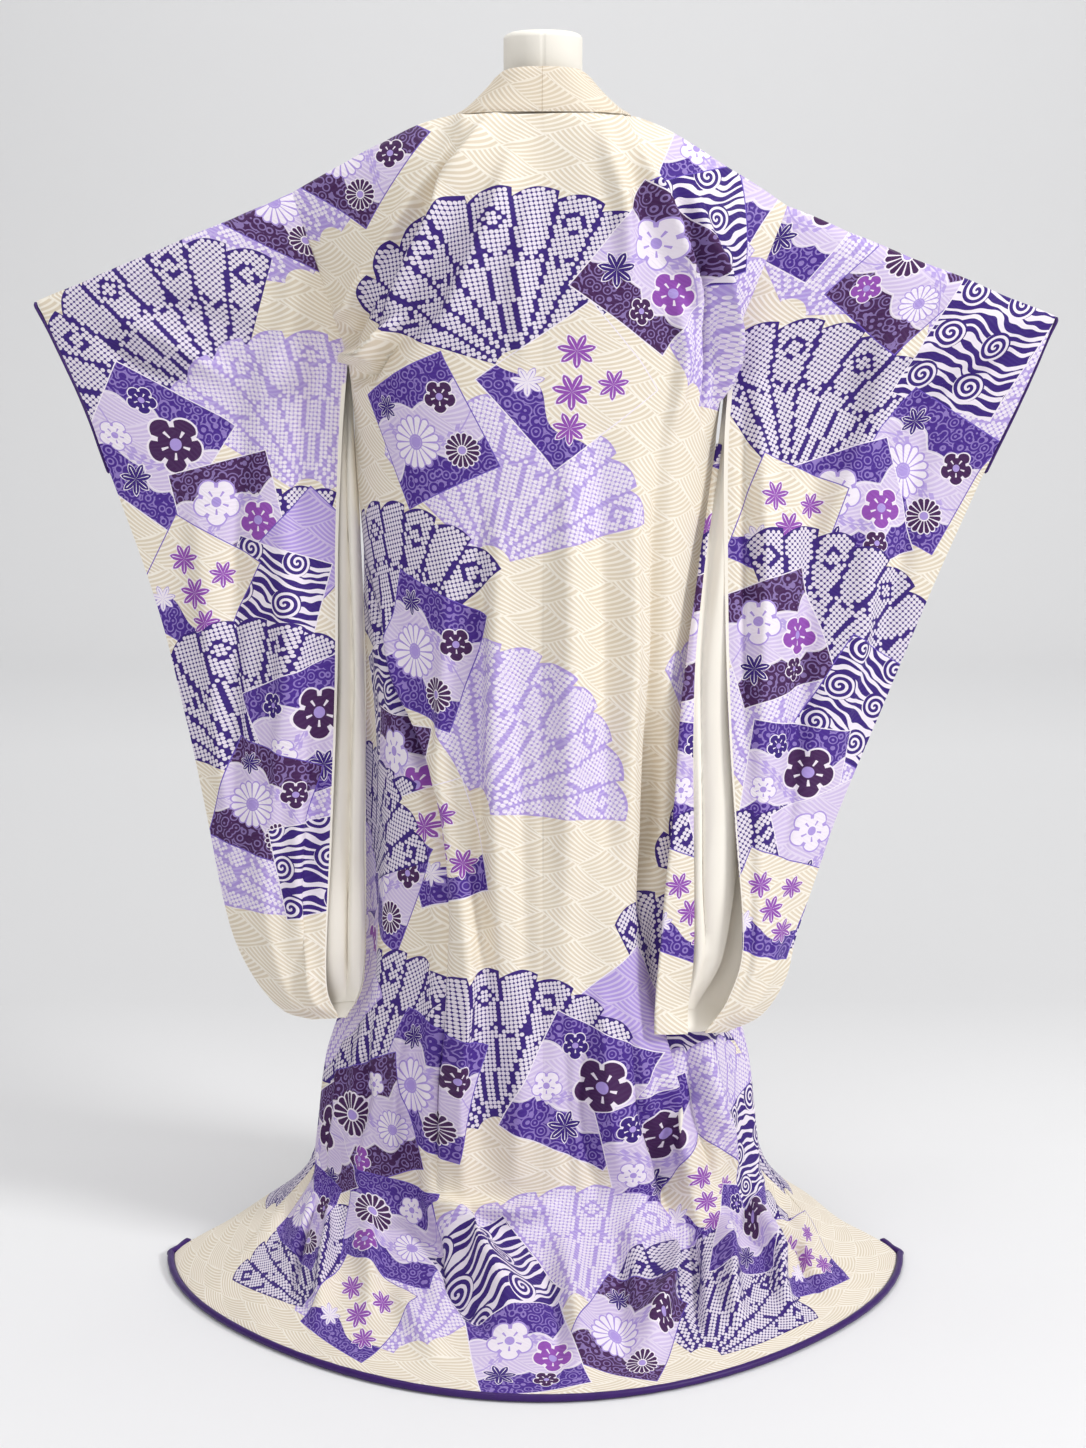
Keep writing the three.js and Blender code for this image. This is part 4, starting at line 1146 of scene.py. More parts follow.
def printed_silk():
    paint = Paint("printed silk", Roughness=0.5, Specular_IOR_Level=0.12)
    m = paint.math
    user = settings()
    flat = paint.flat()
    x, y, _ = paint.split(flat)
    height, check = figured(paint, flat)
    covered, (px, py, size), (kind, fill, number) = laid_shape(paint, x, y)
    tied = tied_dots(paint, kind, px, py, size)
    inks = paint.colour(tied * 0.9, user.purple, user.pale)
    pale_dots = paint.colour(tied * 0.8 + height * 0.2, user.lavender, user.pale)
    water = paint.colour(running_water(paint, flat, px, py), user.pale, user.purple)
    # a bank of mist with a cloud edge on a ground of scrolls
    cells = paint.node("ShaderNodeTexVoronoi", {}, {"Vector": flat, "Scale": 88.0})
    swirl = m("SINE", Wire(paint, cells.outputs["Distance"]) * 19.0) > 0.45
    scroll = paint.colour(swirl * 0.6, SCROLL, user.lavender)
    plum_scroll = paint.colour(swirl * 0.5, PLUM_INK, user.lavender)
    mist = paint.colour(height * 0.5, LILAC, user.pale)
    wave = abs(py / size + m("SINE", px / size * 7.0) * 0.06)
    cloud_edge = wave - 0.2 - abs(m("SINE", px / size * 10.0)) * 0.07
    rim_line = (abs(cloud_edge) < 0.012) * 0.8
    cloud, plum = (
        paint.colour(rim_line, paint.colour(cloud_edge > 0.0, mist, ground), user.pale)
        for ground in (scroll, plum_scroll)
    )
    # the ground behind star-shaped leaves: cream above a dark bank of scrolls
    bank = py / size + 0.28 + m("SINE", px / size * 9.0) * 0.07
    silk = paint.colour(height * 0.8, user.cream, user.cream_line)
    leaves = paint.colour(bank < 0.0, silk, scroll)
    plain = paint.colour(height, user.lavender, LILAC)
    fills = (
        (PALE, pale_dots), (WATER, water), (CLOUD, cloud), (MIST, mist),
        (LEAVES, leaves), (PLAIN, plain), (PLUM, plum),
    )
    for code, ink in fills:
        inks = paint.colour(paint.same(fill, code), inks, ink)
    # stems go behind the flowers, on the cards that have any
    planted = paint.most(*(paint.same(fill, code) for code in (CLOUD, PLUM, MIST)))
    stems = flower_stems(paint, px, py, size, number) * (1.0 - kind) * planted
    stem_colour = paint.colour(cloud_edge > 0.0, user.lavender, user.pale)
    inks = paint.colour(stems * 0.8, inks, stem_colour)
    flower, flower_colour = flowers(paint, x, y, number)
    inks = paint.colour(flower * covered, inks, flower_colour)
    # the edge line of each card
    edge_line = (to_card_edge(paint, px, py, size) < 0.0013) * (1.0 - kind)
    edge_ink = paint.colour(m("PINGPONG", number, 1.0), VIOLET, user.pale)
    inks = paint.colour(edge_line, inks, edge_ink)
    # cream ground under it all, with the bundles that run one way in painted shade of the weave's sheen, and
    # the ink's uneven strength
    ground = paint.colour(height * 0.85, user.cream, user.cream_line)
    ground = paint.colour(check * 0.1, ground, CREAM_PAINTED_SHADE)
    base = paint.colour(covered * 0.97, ground, inks)
    wash = paint.noise(flat, 5.0, 3.0)
    base = paint.tint((wash - 0.4) * 0.35 * covered, base, (0.82, 0.8, 0.92))
    fine = paint.noise(flat, 900.0, 1.0)
    normal = paint.bump(height * 0.9 + fine * 0.12, 0.35, 0.0006)
    return paint.finish(Base_Color=base, Roughness=0.56 - height * 0.14, Normal=normal)


def figured_silk():
    paint = Paint(
        "figured silk", Roughness=0.5, Sheen_Weight=0.03, Sheen_Roughness=0.4, Specular_IOR_Level=0.2
    )
    user = settings()
    flat = paint.flat()
    height, check = figured(paint, flat)
    ground = paint.colour(height * 0.75, user.cream, user.cream_line)
    # the bundles that run one way are darker: painted shade of the weave's sheen
    ground = paint.colour(check * 0.12, ground, CREAM_PAINTED_SHADE)
    ground = paint.tint(1.0, ground, (0.93, 0.91, 0.89))
    # the seam at the middle of the nape, and the stitches along the lower edge
    along, across, _ = paint.split(flat)
    seam = paint.math("MAXIMUM", 1.0 - abs(along) / 0.0011, 0.0)
    stitched = (abs(across - 0.0022) < 0.0005) * (paint.math("FRACT", along / 0.0042) < 0.6)
    ground = paint.tint(seam * 0.55 + stitched * 0.3, ground, (0.62, 0.52, 0.4))
    fine = paint.noise(flat, 900.0, 1.0)
    normal = paint.bump(height * 0.9 + fine * 0.12 - seam * 1.5, 0.35, 0.0006)
    return paint.finish(Base_Color=ground, Roughness=0.56 - height * 0.14, Normal=normal)


def lining_satin():
    paint = Paint(
        "lining satin", Roughness=0.42, Sheen_Weight=0.2, Sheen_Roughness=0.35, Specular_IOR_Level=0.45
    )
    place = paint.place()
    wash = paint.noise(place, 9.0, 3.0)
    base = paint.colour(wash, srgb(244, 237, 224), srgb(250, 245, 235))
    weave = paint.noise(place, 700.0, 2.0)
    normal = paint.bump(weave, 0.12, 0.0004)
    return paint.finish(Base_Color=base, Roughness=0.36 + weave * 0.12, Normal=normal)


def purple_satin():
    paint = Paint(
        "purple satin", Roughness=0.4, Sheen_Weight=0.04, Sheen_Roughness=0.3, Specular_IOR_Level=0.35
    )
    flat = paint.flat()
    x, y, _ = paint.split(flat)
    # bands across the roll: puckers in the bump and roughness, whose light and shade are also painted into
    # the colour
    puckers_and_painted_sheen = paint.noise(paint.join(x * 60.0, y * 9.0), 1.0, 3.0)
    base = paint.colour(puckers_and_painted_sheen, settings().roll_shade, settings().roll_light)
    twill = paint.math("SINE", (x + y) * 5200.0) * 0.5 + 0.5
    normal = paint.bump(puckers_and_painted_sheen + twill * 0.08, 0.3, 0.0012)
    return paint.finish(Base_Color=base, Roughness=0.38 + puckers_and_painted_sheen * 0.16, Normal=normal)


def form_jersey():
    paint = Paint("form jersey", Roughness=0.85, Sheen_Weight=0.15, Sheen_Roughness=0.5)
    place = paint.place()
    x, y, z = paint.split(place)
    around = paint.math("ARCTAN2", x, y)
    stitch = paint.math("SINE", around * 420.0) * paint.math("SINE", z * 4200.0)
    wash = paint.noise(place, 12.0, 3.0)
    base = paint.colour(wash, srgb(238, 232, 220), srgb(246, 242, 233))
    normal = paint.bump(stitch * 0.5 + wash, 0.25, 0.0004)
    return paint.finish(Base_Color=base, Roughness=0.8 + stitch * 0.05, Normal=normal)


def form_paint():
    paint = Paint("form paint", Roughness=0.5, Specular_IOR_Level=0.4)
    place = paint.place()
    speck = paint.noise(place, 240.0, 3.0)
    wear = paint.noise(place, 18.0, 4.0)
    base = paint.colour(wear, srgb(150, 147, 141), srgb(164, 161, 154))
    normal = paint.bump(speck, 0.12, 0.0003)
    return paint.finish(Base_Color=base, Roughness=0.42 + wear * 0.16, Normal=normal)


def colour_setting(name, use, default):
    return bpy.props.FloatVectorProperty(
        name=name, description=use, subtype="COLOR", size=3, min=0.0, max=1.0, default=default
    )


class FurisodeSettings(bpy.types.PropertyGroup):
    """Sizes and colours that a user may change before the pieces are built"""

    relief: bpy.props.FloatProperty(
        name="Crease relief", description="How strongly the creases stand out of the cloth",
        subtype="FACTOR", min=0.0, max=2.5, default=1.6,
    )
    cloth: bpy.props.FloatProperty(
        name="Cloth thickness", description="Thickness of the lined silk",
        unit="LENGTH", precision=4, min=0.001, max=0.003, default=0.002,
    )
    hem_roll: bpy.props.FloatProperty(
        name="Hem roll radius", description="Radius of the padded roll along the hem",
        unit="LENGTH", precision=4, min=0.003, max=0.005, default=0.0041,
    )
    cuff_roll: bpy.props.FloatProperty(
        name="Cuff roll radius", description="Radius of the padded rolls round the wrist openings",
        unit="LENGTH", precision=4, min=0.001, max=0.0024, default=0.0017,
    )
    cream: colour_setting("Cream ground", "Ground of the silk between its woven lines", CREAM)
    cream_line: colour_setting("Woven lines", "Raised lines of the silk", CREAM_LINE)
    purple: colour_setting("Deep purple", "Darkest ink of the printed design", PURPLE)
    lavender: colour_setting("Lavender", "Middle ink of the printed design", LAVENDER)
    pale: colour_setting("Pale lilac", "Lightest ink of the printed design", WHITE_LILAC)
    roll_shade: colour_setting("Roll shade", "Darker colour of the hem and cuff rolls", ROLL_SHADE)
    roll_light: colour_setting("Roll light", "Lighter colour of the hem and cuff rolls", ROLL_LIGHT)


def settings():
    return bpy.context.scene.furisode


MATERIALS = {}


def finish_of(name):
    """One of the part's finishes, made when it is first asked for."""
    makers = {
        "printed_silk": printed_silk, "figured_silk": figured_silk, "lining": lining_satin,
        "purple_roll": purple_satin, "form_cloth": form_jersey, "form_metal": form_paint,
    }
    if name not in MATERIALS:
        MATERIALS[name] = makers[name]()
    return MATERIALS[name]


def place_piece(made, node):
    """Lets a mesh stand for a node of the part: hangs it under the root body and hides the node."""
    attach(made, "root")
    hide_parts(node)
    return made


SIDES = ((-1, "left"), (1, "right"))


def body_flat(side, up, place):
    return np.stack(np.broadcast_arrays(side * place, up), -1)


def build_body(side):
    cloth = Cloth()
    inset = np.clip(ACROSS, SEAM / 2 / HALF_BACK, 1 - SEAM / 2 / HALF_BACK)
    back_place = inset * HALF_BACK
    rows = [cloth.row(body_point(side, up, back_place), body_flat(side, up, back_place)) for up in UPS]
    rise = (read(TOP_LEFT if side < 0 else TOP_RIGHT, inset)["z"] - ARM_HEIGHT) * CLOTH_UP
    for share in [*SHARES, 1.0]:
        flat = body_flat(side, TO_ARM + share * rise, back_place)
        rows.append(cloth.row(back_point(side, inset, share), flat))
    for low, high in zip(rows[:-1], rows[1:]):
        cloth.join(low, high)
    # over the shoulder and down the front, from the neck edge to the sleeve seam
    front = inset[NECK_COLUMN:]
    front_place = HALF_BACK + SEAM / 2 + (1 - front) / (1 - NECK_SHARE) * (FRONT - SEAM)
    front_rise = rise[NECK_COLUMN:]
    above = (rows[-1][0][NECK_COLUMN:], body_flat(side, TO_ARM + front_rise, front_place))
    down_front = [(front_point(side, front, share), TO_ARM + share * front_rise) for share in SHARES[::-1]]
    down_front += [(body_point(side, up, front_place), up) for up in UPS[::-1]]
    for points, up in down_front:
        row = cloth.row(points, body_flat(side, up, front_place))
        cloth.join(above, row)
        above = row
    return cloth


def build_overlap(side):
    cloth = Cloth()
    start = HALF_BACK + FRONT + 2 * SEAM
    shares = np.linspace(0, 1, 22)
    places = [start + shares * (overlap_width(up) - 2 * SEAM) for up in UPS]
    cloth.rows(
        [body_point(side, up, place) for up, place in zip(UPS, places)],
        [body_flat(side, up, place) for up, place in zip(UPS, places)],
    )
    return cloth


def sleeve_flat(side, points, down):
    """The print lies on a sleeve as it is seen from behind, and goes on from the back at the seam."""
    start = read(BACK_INNER_LEFT, ARMPIT)["x"]
    seam_x = np.where(down < ARMPIT, start + (1 - down / ARMPIT) * 62, start)
    x = np.abs(points[:, 0])
    across = side * (HALF_BACK + (x - seam_x) * CLOTH_OUT)
    return np.stack([across, TO_ARM + (points[:, 2] - ARM_HEIGHT) * CLOTH_UP], -1)


def build_sleeve(side):
    cloth = Cloth()
    layers = [(d, -1) for d in DOWNS[::-1]] + [(0.0, -1)] + [(d, 1) for d in DOWNS]
    laid = [sleeve_point(side, down, SLEEVE_ACROSS, layer) for down, layer in layers]
    rows = [cloth.row(points, sleeve_flat(side, points, down)) for points, (down, _) in zip(laid, layers)]
    for step, (down, layer) in enumerate(layers[:-1]):
        cloth.join(rows[step], rows[step + 1])
        if layer < 0 and ARMPIT + 0.03 < down < 0.97:
            cloth.turned.append(step * (len(SLEEVE_ACROSS) - 1))
    # both layers of a sleeve sway the same way
    first_front = len(DOWNS) + 1
    cloth.front = (rows[first_front][0][0], cloth.count)
    if side > 0:
        front = [
            (layers[k][0], laid[k], rows[k][0][0]) for k in range(first_front, len(layers))
            if layers[k][0] >= TURN_BACK["down"][0]
        ]
        turn_back(cloth, side, front)
    return cloth


def turn_back(cloth, side, rows):
    """Turns a sleeve's front layer back along its open edge, by rows of its points and first number."""
    cloth.moved = (sum(len(q) for q in cloth.quads), TURNED_PRINT)
    shares = np.concatenate([[0.0, 0.08, 0.16], np.linspace(0.3, 1, 9)])
    turn = read(TURN, shares)
    offset = pack(turn["aside"], -turn["lift"], 0)
    above = None
    for down, points, edge in rows:
        width = read(TURN_BACK, down)["wide"]
        row_width = np.linalg.norm(points[0] - points[-1])
        under = sleeve_point(side, down, shares * width / row_width, 1) + offset
        ids, flat = cloth.row(under, sleeve_flat(side, under, down))
        strip = (np.concatenate([[edge], ids]), np.concatenate([flat[:1], flat]))
        if above is not None:
            cloth.join(strip, above)
        above = strip


def build_lining(side):
    cloth = Cloth()
    lift = WALL / 2 + LINING_WALL / 2 + 0.5
    top = ARMPIT + 0.02
    downs = DOWNS[(DOWNS > top) & (DOWNS < 0.955)]
    columns = np.concatenate([np.linspace(0.004, 0.3, 44), np.linspace(0.31, 0.4, 5)])
    crease = 0.5 if side < 0 else 0.24
    points, flats = [], []
    for down in downs:
        p = sleeve_point(side, down, columns, 1)
        # the satin stands out in two soft rolls beside a crease, where the open edge shows it
        covered = 0.0 if side < 0 else float(read(TURN_BACK, down)["wide"]) + 2
        seen = abs(sleeve_point(side, down, 0.0, -1)[0] - p[0, 0])
        share = (np.linalg.norm(p - p[0], axis=1) - covered) / max(seen - covered, 12.0)
        first = np.sin(np.pi * np.clip(share / crease, 0, 1)) ** 0.4
        second = np.sin(np.pi * np.clip((share - crease) / (1.4 - crease), 0, 1)) ** 0.4
        tall = ease(top, 0.34, down) * (1 - ease(0.86, 0.95, down))
        first_height = 15.0 if side < 0 else 7.0 * ease(0.5, 0.75, down)
        stand = tall * (first * first_height + second * 17.0)
        aside = sleeve_point(side, down, columns + 0.02, 1) - sleeve_point(side, down, columns - 0.02, 1)
        below = sleeve_point(side, down + 0.01, columns, 1) - sleeve_point(side, down - 0.01, columns, 1)
        inward = unit(np.cross(aside, below))
        inward = np.where(inward[:, 1:2] > 0, -inward, inward)
        p = p + inward * (lift + stand[:, None])
        points.append(p)
        flats.append(sleeve_flat(side, p, down))
    cloth.rows(points, flats)
    cloth.front = (0, cloth.count)
    return cloth


def ring_faces(rings, around):
    """Faces between rings of points, and a flat one at either end."""
    faces = []
    for k in range(rings - 1):
        low, high = k * around, (k + 1) * around
        for i in range(around):
            j = (i + 1) % around
            faces.append([low + i, low + j, high + j, high + i])
    faces.append(list(range(around))[::-1])
    faces.append([(rings - 1) * around + i for i in range(around)])
    return faces


def tube(name, line, radius, sides, material, swell):
    """A round roll along a line, closed at both ends."""
    line = np.asarray(line, float)
    ways = unit(np.gradient(line, axis=0))
    up = np.array([0, 0.31, 0.95])
    rings = []
    run = np.concatenate([[0], np.cumsum(np.linalg.norm(np.diff(line, axis=0), axis=1))])
    angles = np.linspace(0, 2 * np.pi, sides, endpoint=False)
    for i, (p, way) in enumerate(zip(line, ways)):
        up = unit(up - way * (up @ way))
        aside = np.cross(way, up)
        r = radius * swell(run[i], angles)
        close = min(run[i], run[-1] - run[i]) / radius
        r = r * math.sqrt(max(1 - (1 - min(close, 1)) ** 2, 0.04))
        rings.append(p + np.outer(r * np.cos(angles), up) + np.outer(r * np.sin(angles), aside))
    faces = ring_faces(len(rings), sides)
    corners = []
    for start, end in zip(run[:-1], run[1:]):
        for i in range(sides):
            near, far = (k * radius * 2 * np.pi / sides for k in (i, i + 1))
            corners.extend([(start, near), (start, far), (end, far), (end, near)])
    corners.extend([(0, i) for i in range(sides)] * 2)
    points = np.concatenate(rings)
    middle = rings[1].mean(0)
    normal = np.cross(rings[1][1] - rings[1][0], rings[2][0] - rings[1][0])
    if normal @ (rings[1][0] - middle) < 0:
        faces = [f[::-1] for f in faces]
    return make_object(name, points, faces, [material], corners=corners)


def roll_swell(seed):
    """Uneven padding of a roll: slow swells and puckers at its stitches."""
    def swell(run, angles):
        slow = 0.03 * math.sin(run / 37 + seed) + 0.025 * math.sin(run / 91 + 2.1 * seed)
        pucker = 0.035 * np.sin(run / 5.1 + 1.3 * np.sin(angles + seed))
        return 1 + slow + pucker * (0.6 + 0.4 * math.sin(run / 63 + seed))
    return swell


def smooth_line(points, step):
    """A line through points as evenly spaced ones, by a curve through them."""
    points = np.asarray(points, float)
    keys = np.concatenate([[0], np.cumsum(np.linalg.norm(np.diff(points, axis=0), axis=1))])
    rows = {"run": keys, "x": points[:, 0], "y": points[:, 1], "z": points[:, 2]}
    found = read(rows, np.linspace(0, keys[-1], max(int(keys[-1] / step), 8)))
    return pack(found["x"], found["y"], found["z"])


def cuff_line(side):
    def at(down, layer):
        edge = sleeve_point(side, down, 1.0, layer)
        inner = sleeve_point(side, down, 0.96, layer)
        return edge + unit(edge - inner) * (CUFF_RADIUS + 0.5)

    downs = [0.213, 0.185, 0.15, 0.11, 0.07, 0.03]
    line = [at(d, -1) for d in downs]
    top = (at(0.0, -1) + at(0.0, 1)) / 2
    turn = CUFF_RADIUS * 2.2
    for angle in np.linspace(math.pi, 0, 7):
        line.append(top + (0, turn * math.cos(angle), -turn * (1 - math.sin(angle))))
    line.extend(at(d, 1) for d in downs[::-1])
    return smooth_line(line, 3.0)


def hem_line():
    reach = ROLL_RADIUS + 0.9
    end = HALF_BACK + FRONT + float(overlap_width(0))

    def half(side):
        places = np.linspace(0, end, 150)
        p = body_point(side, 0.0, places)
        way = unit(pack(p[:, 0], p[:, 1] - LEVELS["y"][0], 0))
        arc = list(p + way * reach)
        tip = body_point(side, 0.0, end)
        arc.append(tip + unit(np.array([side, 0.5, 0])) * (reach + 2.2))
        for up in (8.0, 20.0, ROLL_UP):
            edge = HALF_BACK + FRONT + float(overlap_width(up))
            p = body_point(side, up, edge)
            arc.append(p + unit(p - body_point(side, up, edge - 10)) * (reach + WALL + 0.8))
        return arc

    return smooth_line([*half(-1)[1:][::-1], *half(1)], 4.0)


def collar_rows():
    """Rows across the collar, from one end of its run to the other."""
    def half(side):
        rows = []
        inward = np.array([-side * 0.9, 0.42, 0])
        for step in np.linspace(0, 1, 40):
            p = back_point(side, step * NECK_SHARE, 1.0)
            free = read(COLLAR_FREE, step)
            rows.append((p, pack(side * free["x"], free["y"], free["z"]), None))
        first_way = unit(rows[-1][1] - rows[-1][0])
        for share in SHARES[::-1]:
            p = front_point(side, NECK_SHARE, share)
            way = unit(mix(inward, first_way, ease(0.6, 1, share)))
            rows.append((p, None, way))
        for up in UPS[::-1]:
            if up < COLLAR_END:
                break
            place = HALF_BACK + FRONT + float(overlap_width(up))
            p = body_point(side, up, place)
            way = unit(p - body_point(side, up, place - 12))
            way = unit(mix(inward, way, ease(TO_ARM, 1150, up)))
            rows.append((p, None, way))
        made = []
        shares = np.linspace(0, 1, COLLAR_STEPS)
        for p, free, way in rows:
            length = COLLAR_WIDTH
            if free is not None:
                way = unit(free - p)
                length = np.linalg.norm(free - p)
            made.append(p + np.outer(COLLAR_SEAM + shares * (length - COLLAR_SEAM), way))
        return made

    return [*half(-1)[1:][::-1], *half(1)]


def loft(name, sections, around, material, groove=0.0):
    """Rings by height, with flat ends. groove is the depth of a seam down the middle of the back."""
    angles = np.linspace(0, 2 * np.pi, around, endpoint=False)
    off = (angles - 1.5 * np.pi) * NECK_RADIUS
    dent = 1 - groove / NECK_RADIUS * np.exp(-((off / 1.3) ** 2))
    cos, sin = dent * np.cos(angles), dent * np.sin(angles)
    rings = [pack(wide * cos, deep * sin, z) for z, wide, deep in sections]
    return make_object(name, np.concatenate(rings), ring_faces(len(rings), around), [material])


def printed_shell(name, cloth, side, design, creases=()):
    """A shell of printed silk with its lining, as thick as the user's setting."""
    silk, lining = finish_of("printed_silk"), finish_of("lining")
    thick = settings().cloth / MM
    return shell(name, cloth, side, thick, silk, lining, creases=creases, print_rows=design)


class FURISODE_OT_body(bpy.types.Operator):
    """Build the two body panels, each one length from the back hem over the shoulder to the front hem"""

    bl_idname = "furisode.body"
    bl_label = "Body panels"

    def execute(self, context):
        for side, name in SIDES:
            made = printed_shell(
                f"body_silk_{name}", build_body(side), side, BODY_PRINT, creases=BODY_CREASES
            )
            place_piece(made, f"body_{name}")
        return {"FINISHED"}


class FURISODE_OT_overlaps(bpy.types.Operator):
    """Build the overlap panel sewn to each front edge"""

    bl_idname = "furisode.overlaps"
    bl_label = "Overlap panels"

    def execute(self, context):
        for side, name in SIDES:
            made = printed_shell(f"overlap_silk_{name}", build_overlap(side), side, BODY_PRINT)
            place_piece(made, f"overlap_{name}")
        return {"FINISHED"}


class FURISODE_OT_sleeves(bpy.types.Operator):
    """Build the two long sleeves, each one length folded along its top"""

    bl_idname = "furisode.sleeves"
    bl_label = "Sleeves"

    def execute(self, context):
        for side, name in SIDES:
            made = printed_shell(
                f"sleeve_silk_{name}", build_sleeve(side), side, SLEEVE_PRINT, creases=SLEEVE_CREASES
            )
            place_piece(made, f"sleeve_{name}")
            lining = shell(
                f"sleeve_lining_satin_{name}", build_lining(side), side, LINING_WALL,
                finish_of("lining"), finish_of("lining"), creases=SLEEVE_CREASES,
            )
            place_piece(lining, f"sleeve_lining_{name}")
        return {"FINISHED"}


class FURISODE_OT_rolls(bpy.types.Operator):
    """Build the padded rolls of the hem and the two wrist openings"""

    bl_idname = "furisode.rolls"
    bl_label = "Hem and cuff rolls"

    def execute(self, context):
        satin = finish_of("purple_roll")
        radius = settings().hem_roll / MM
        roll = tube("hem_roll_satin", hem_line(), radius, 16, satin, roll_swell(0.4))
        place_piece(roll, "hem_roll")
        for side, name in SIDES:
            radius = settings().cuff_roll / MM
            swell = roll_swell(side * 1.1)
            cuff = tube(f"cuff_roll_satin_{name}", cuff_line(side), radius, 12, satin, swell)
            place_piece(cuff, f"cuff_roll_{name}")
        return {"FINISHED"}


class FURISODE_OT_collar(bpy.types.Operator):
    """Build the collar band round the nape and down both front edges"""

    bl_idname = "furisode.collar"
    bl_label = "Collar"

    def execute(self, context):
        rows = collar_rows()
        run = np.cumsum([0, *(np.linalg.norm(b[0] - a[0]) for a, b in zip(rows[:-1], rows[1:]))])
        wide = np.linspace(0, COLLAR_WIDTH, COLLAR_STEPS)
        flats = [np.stack([np.full(COLLAR_STEPS, r - run[-1] / 2), wide], -1) for r in run]
        cloth = Cloth()
        cloth.rows(rows, flats)
        silk = finish_of("figured_silk")
        made = shell("collar_silk", cloth, 1, COLLAR_WALL, silk, silk, rim=0.35)
        place_piece(made, "collar")
        return {"FINISHED"}


class FURISODE_OT_dress_form(bpy.types.Operator):
    """Build the dress form's neck block and torso, and give the part's pole, base and the rods that hold the
    sleeves out a grey paint finish
    """

    bl_idname = "furisode.dress_form"
    bl_label = "Dress form"

    def execute(self, context):
        jersey = finish_of("form_cloth")
        heights = along(700, 7, 716, 59, 1340, 29, 1398)
        rows = read(TORSO, heights)
        sections = list(zip(heights, rows["wide"], rows["deep"]))
        torso = loft("form_torso_jersey", sections, 96, jersey, 0.5)
        place_piece(torso, "form_torso")
        low = float(TORSO["z"][-1]) + 0.7
        dome = np.linspace(0, math.pi / 2, 10)
        crown = [(NECK_TOP - 9 + 9 * math.sin(a), NECK_RADIUS - 20 + 20 * math.cos(a)) for a in dome]
        straight = [(z, NECK_RADIUS) for z in np.linspace(low + 20, NECK_TOP - 9, 8)[:-1]]
        bands = [(low, NECK_RADIUS + 1), *straight, *crown]
        neck = loft("form_neck_jersey", [(z, r, r) for z, r in bands], 128, jersey, 1.3)
        place_piece(neck, "form_neck")
        for node in ("form_pole", "form_base", "form_rod_left", "form_rod_right"):
            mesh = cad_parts[node].data
            mesh.materials.clear()
            mesh.materials.append(finish_of("form_metal"))
        return {"FINISHED"}


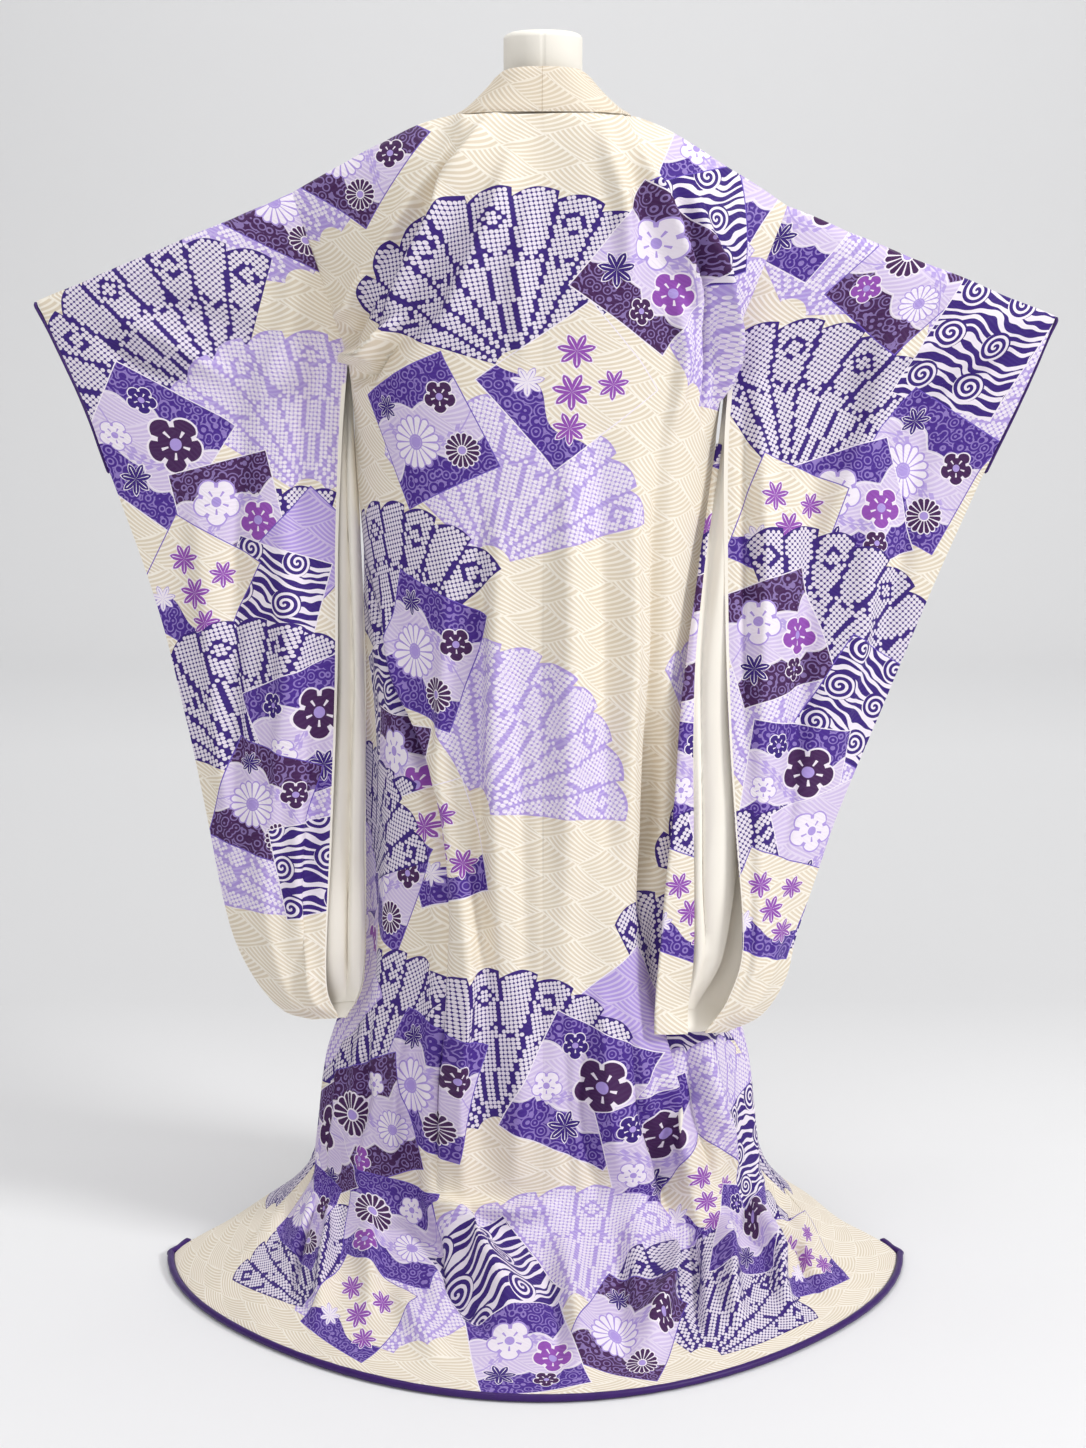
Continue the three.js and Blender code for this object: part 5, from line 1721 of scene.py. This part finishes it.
class FURISODE_OT_stage(bpy.types.Operator):
    """Make the pale floor and wall with a band of painted shade across the floor, the soft lights and the
    camera
    """

    bl_idname = "furisode.stage"
    bl_label = "Stage"

    def execute(self, context):
        scene = context.scene
        paper = Paint("studio paper", Roughness=0.95, Specular_IOR_Level=0.1)
        # the floor's colour has a band of painted shade: darker from 0.3 m behind the form, darkest from 1.05
        # to 1.2 m and pale again by 3.4 m, standing in for the shade at the foot of a nearer wall
        place = paper.place()
        depth = paper.split(place)[1]
        near = paper.least(paper.most((depth - 0.3) / 0.75, 0.0), 1.0)
        far = paper.least(paper.most((depth - 1.2) / 2.2, 0.0), 1.0)
        paper.finish(Base_Color=paper.colour(near * (1.0 - far), (0.83, 0.83, 0.835), (0.71, 0.71, 0.715)))
        bend = np.linspace(0, math.pi / 2, 16)
        reach, wall_y, wall_top, radius = 30000.0, 6400.0, 9000.0, 1500.0
        profile = [(-reach, 0.0), (wall_y - radius, 0.0)]
        profile += [(wall_y - radius + radius * math.sin(a), radius - radius * math.cos(a)) for a in bend[1:]]
        profile += [(wall_y, wall_top)]
        points = [(x, y, z) for y, z in profile for x in (-reach, reach)]
        faces = [[2 * i, 2 * i + 1, 2 * i + 3, 2 * i + 2] for i in range(len(profile) - 1)]
        floor = make_object("studio_floor", points, faces, [paper.material])
        lights = (
            # name, place, aim, size, power
            ("key", (5.6, -2.9, 4.1), (0, 0, 0.75), 1.5, 275),
            ("fill", (-1.0, -4.0, 1.9), (0, 0, 0.8), 2.4, 31),
            ("top", (-0.3, 0.0, 4.2), (-0.2, -0.2, 0.0), 2.6, 60),
            ("backdrop", (0.0, 3.2, 4.8), (0, 6.4, 1.4), 3.2, 52),
        )
        for name, spot, aim, size, power in lights:
            lamp = bpy.data.lights.new(name, "AREA")
            lamp.shape = "SQUARE"
            lamp.size = size
            lamp.energy = power
            made = bpy.data.objects.new(name, lamp)
            made.location = spot
            way = np.array(aim, float) - spot
            tilt = math.acos(-way[2] / np.linalg.norm(way))
            made.rotation_euler = (tilt, 0, math.atan2(way[1], way[0]) - math.pi / 2)
            scene.collection.objects.link(made)
        world = bpy.data.worlds.new("studio air")
        world.use_nodes = True
        air = world.node_tree.nodes["Background"].inputs
        air["Color"].default_value = (0.99, 0.99, 1.0, 1.0)
        air["Strength"].default_value = 0.42
        scene.world = world
        scene.view_settings.view_transform = "Standard"
        camera = bpy.data.objects.new("camera", bpy.data.cameras.new("camera"))
        camera.location = (0, -3.2, 1.2)
        camera.rotation_euler = (math.radians(80.303), 0, 0)
        camera.data.lens = 64.9
        camera.data.sensor_width = 36.0
        scene.collection.objects.link(camera)
        scene.camera = camera
        return {"FINISHED"}


OPERATORS = (
    FURISODE_OT_body,
    FURISODE_OT_overlaps,
    FURISODE_OT_sleeves,
    FURISODE_OT_rolls,
    FURISODE_OT_collar,
    FURISODE_OT_dress_form,
    FURISODE_OT_stage,
)


class FURISODE_PT_sidebar(bpy.types.Panel):
    """The pieces of the furisode and its stage"""

    bl_label = "Furisode"
    bl_idname = "FURISODE_PT_sidebar"
    bl_space_type = "VIEW_3D"
    bl_region_type = "UI"
    bl_category = "Furisode"

    def draw(self, context):
        for name in FurisodeSettings.__annotations__:
            self.layout.prop(context.scene.furisode, name)
        for operator in OPERATORS:
            self.layout.operator(operator.bl_idname)


CLASSES = (FurisodeSettings, *OPERATORS, FURISODE_PT_sidebar)


def register():
    for item in CLASSES:
        bpy.utils.register_class(item)
    bpy.types.Scene.furisode = bpy.props.PointerProperty(type=FurisodeSettings)


def unregister():
    del bpy.types.Scene.furisode
    for item in reversed(CLASSES):
        bpy.utils.unregister_class(item)


def main():
    register()
    for operator in OPERATORS:
        getattr(bpy.ops.furisode, operator.bl_idname.split(".")[1])()


if __name__ == "__main__":
    main()
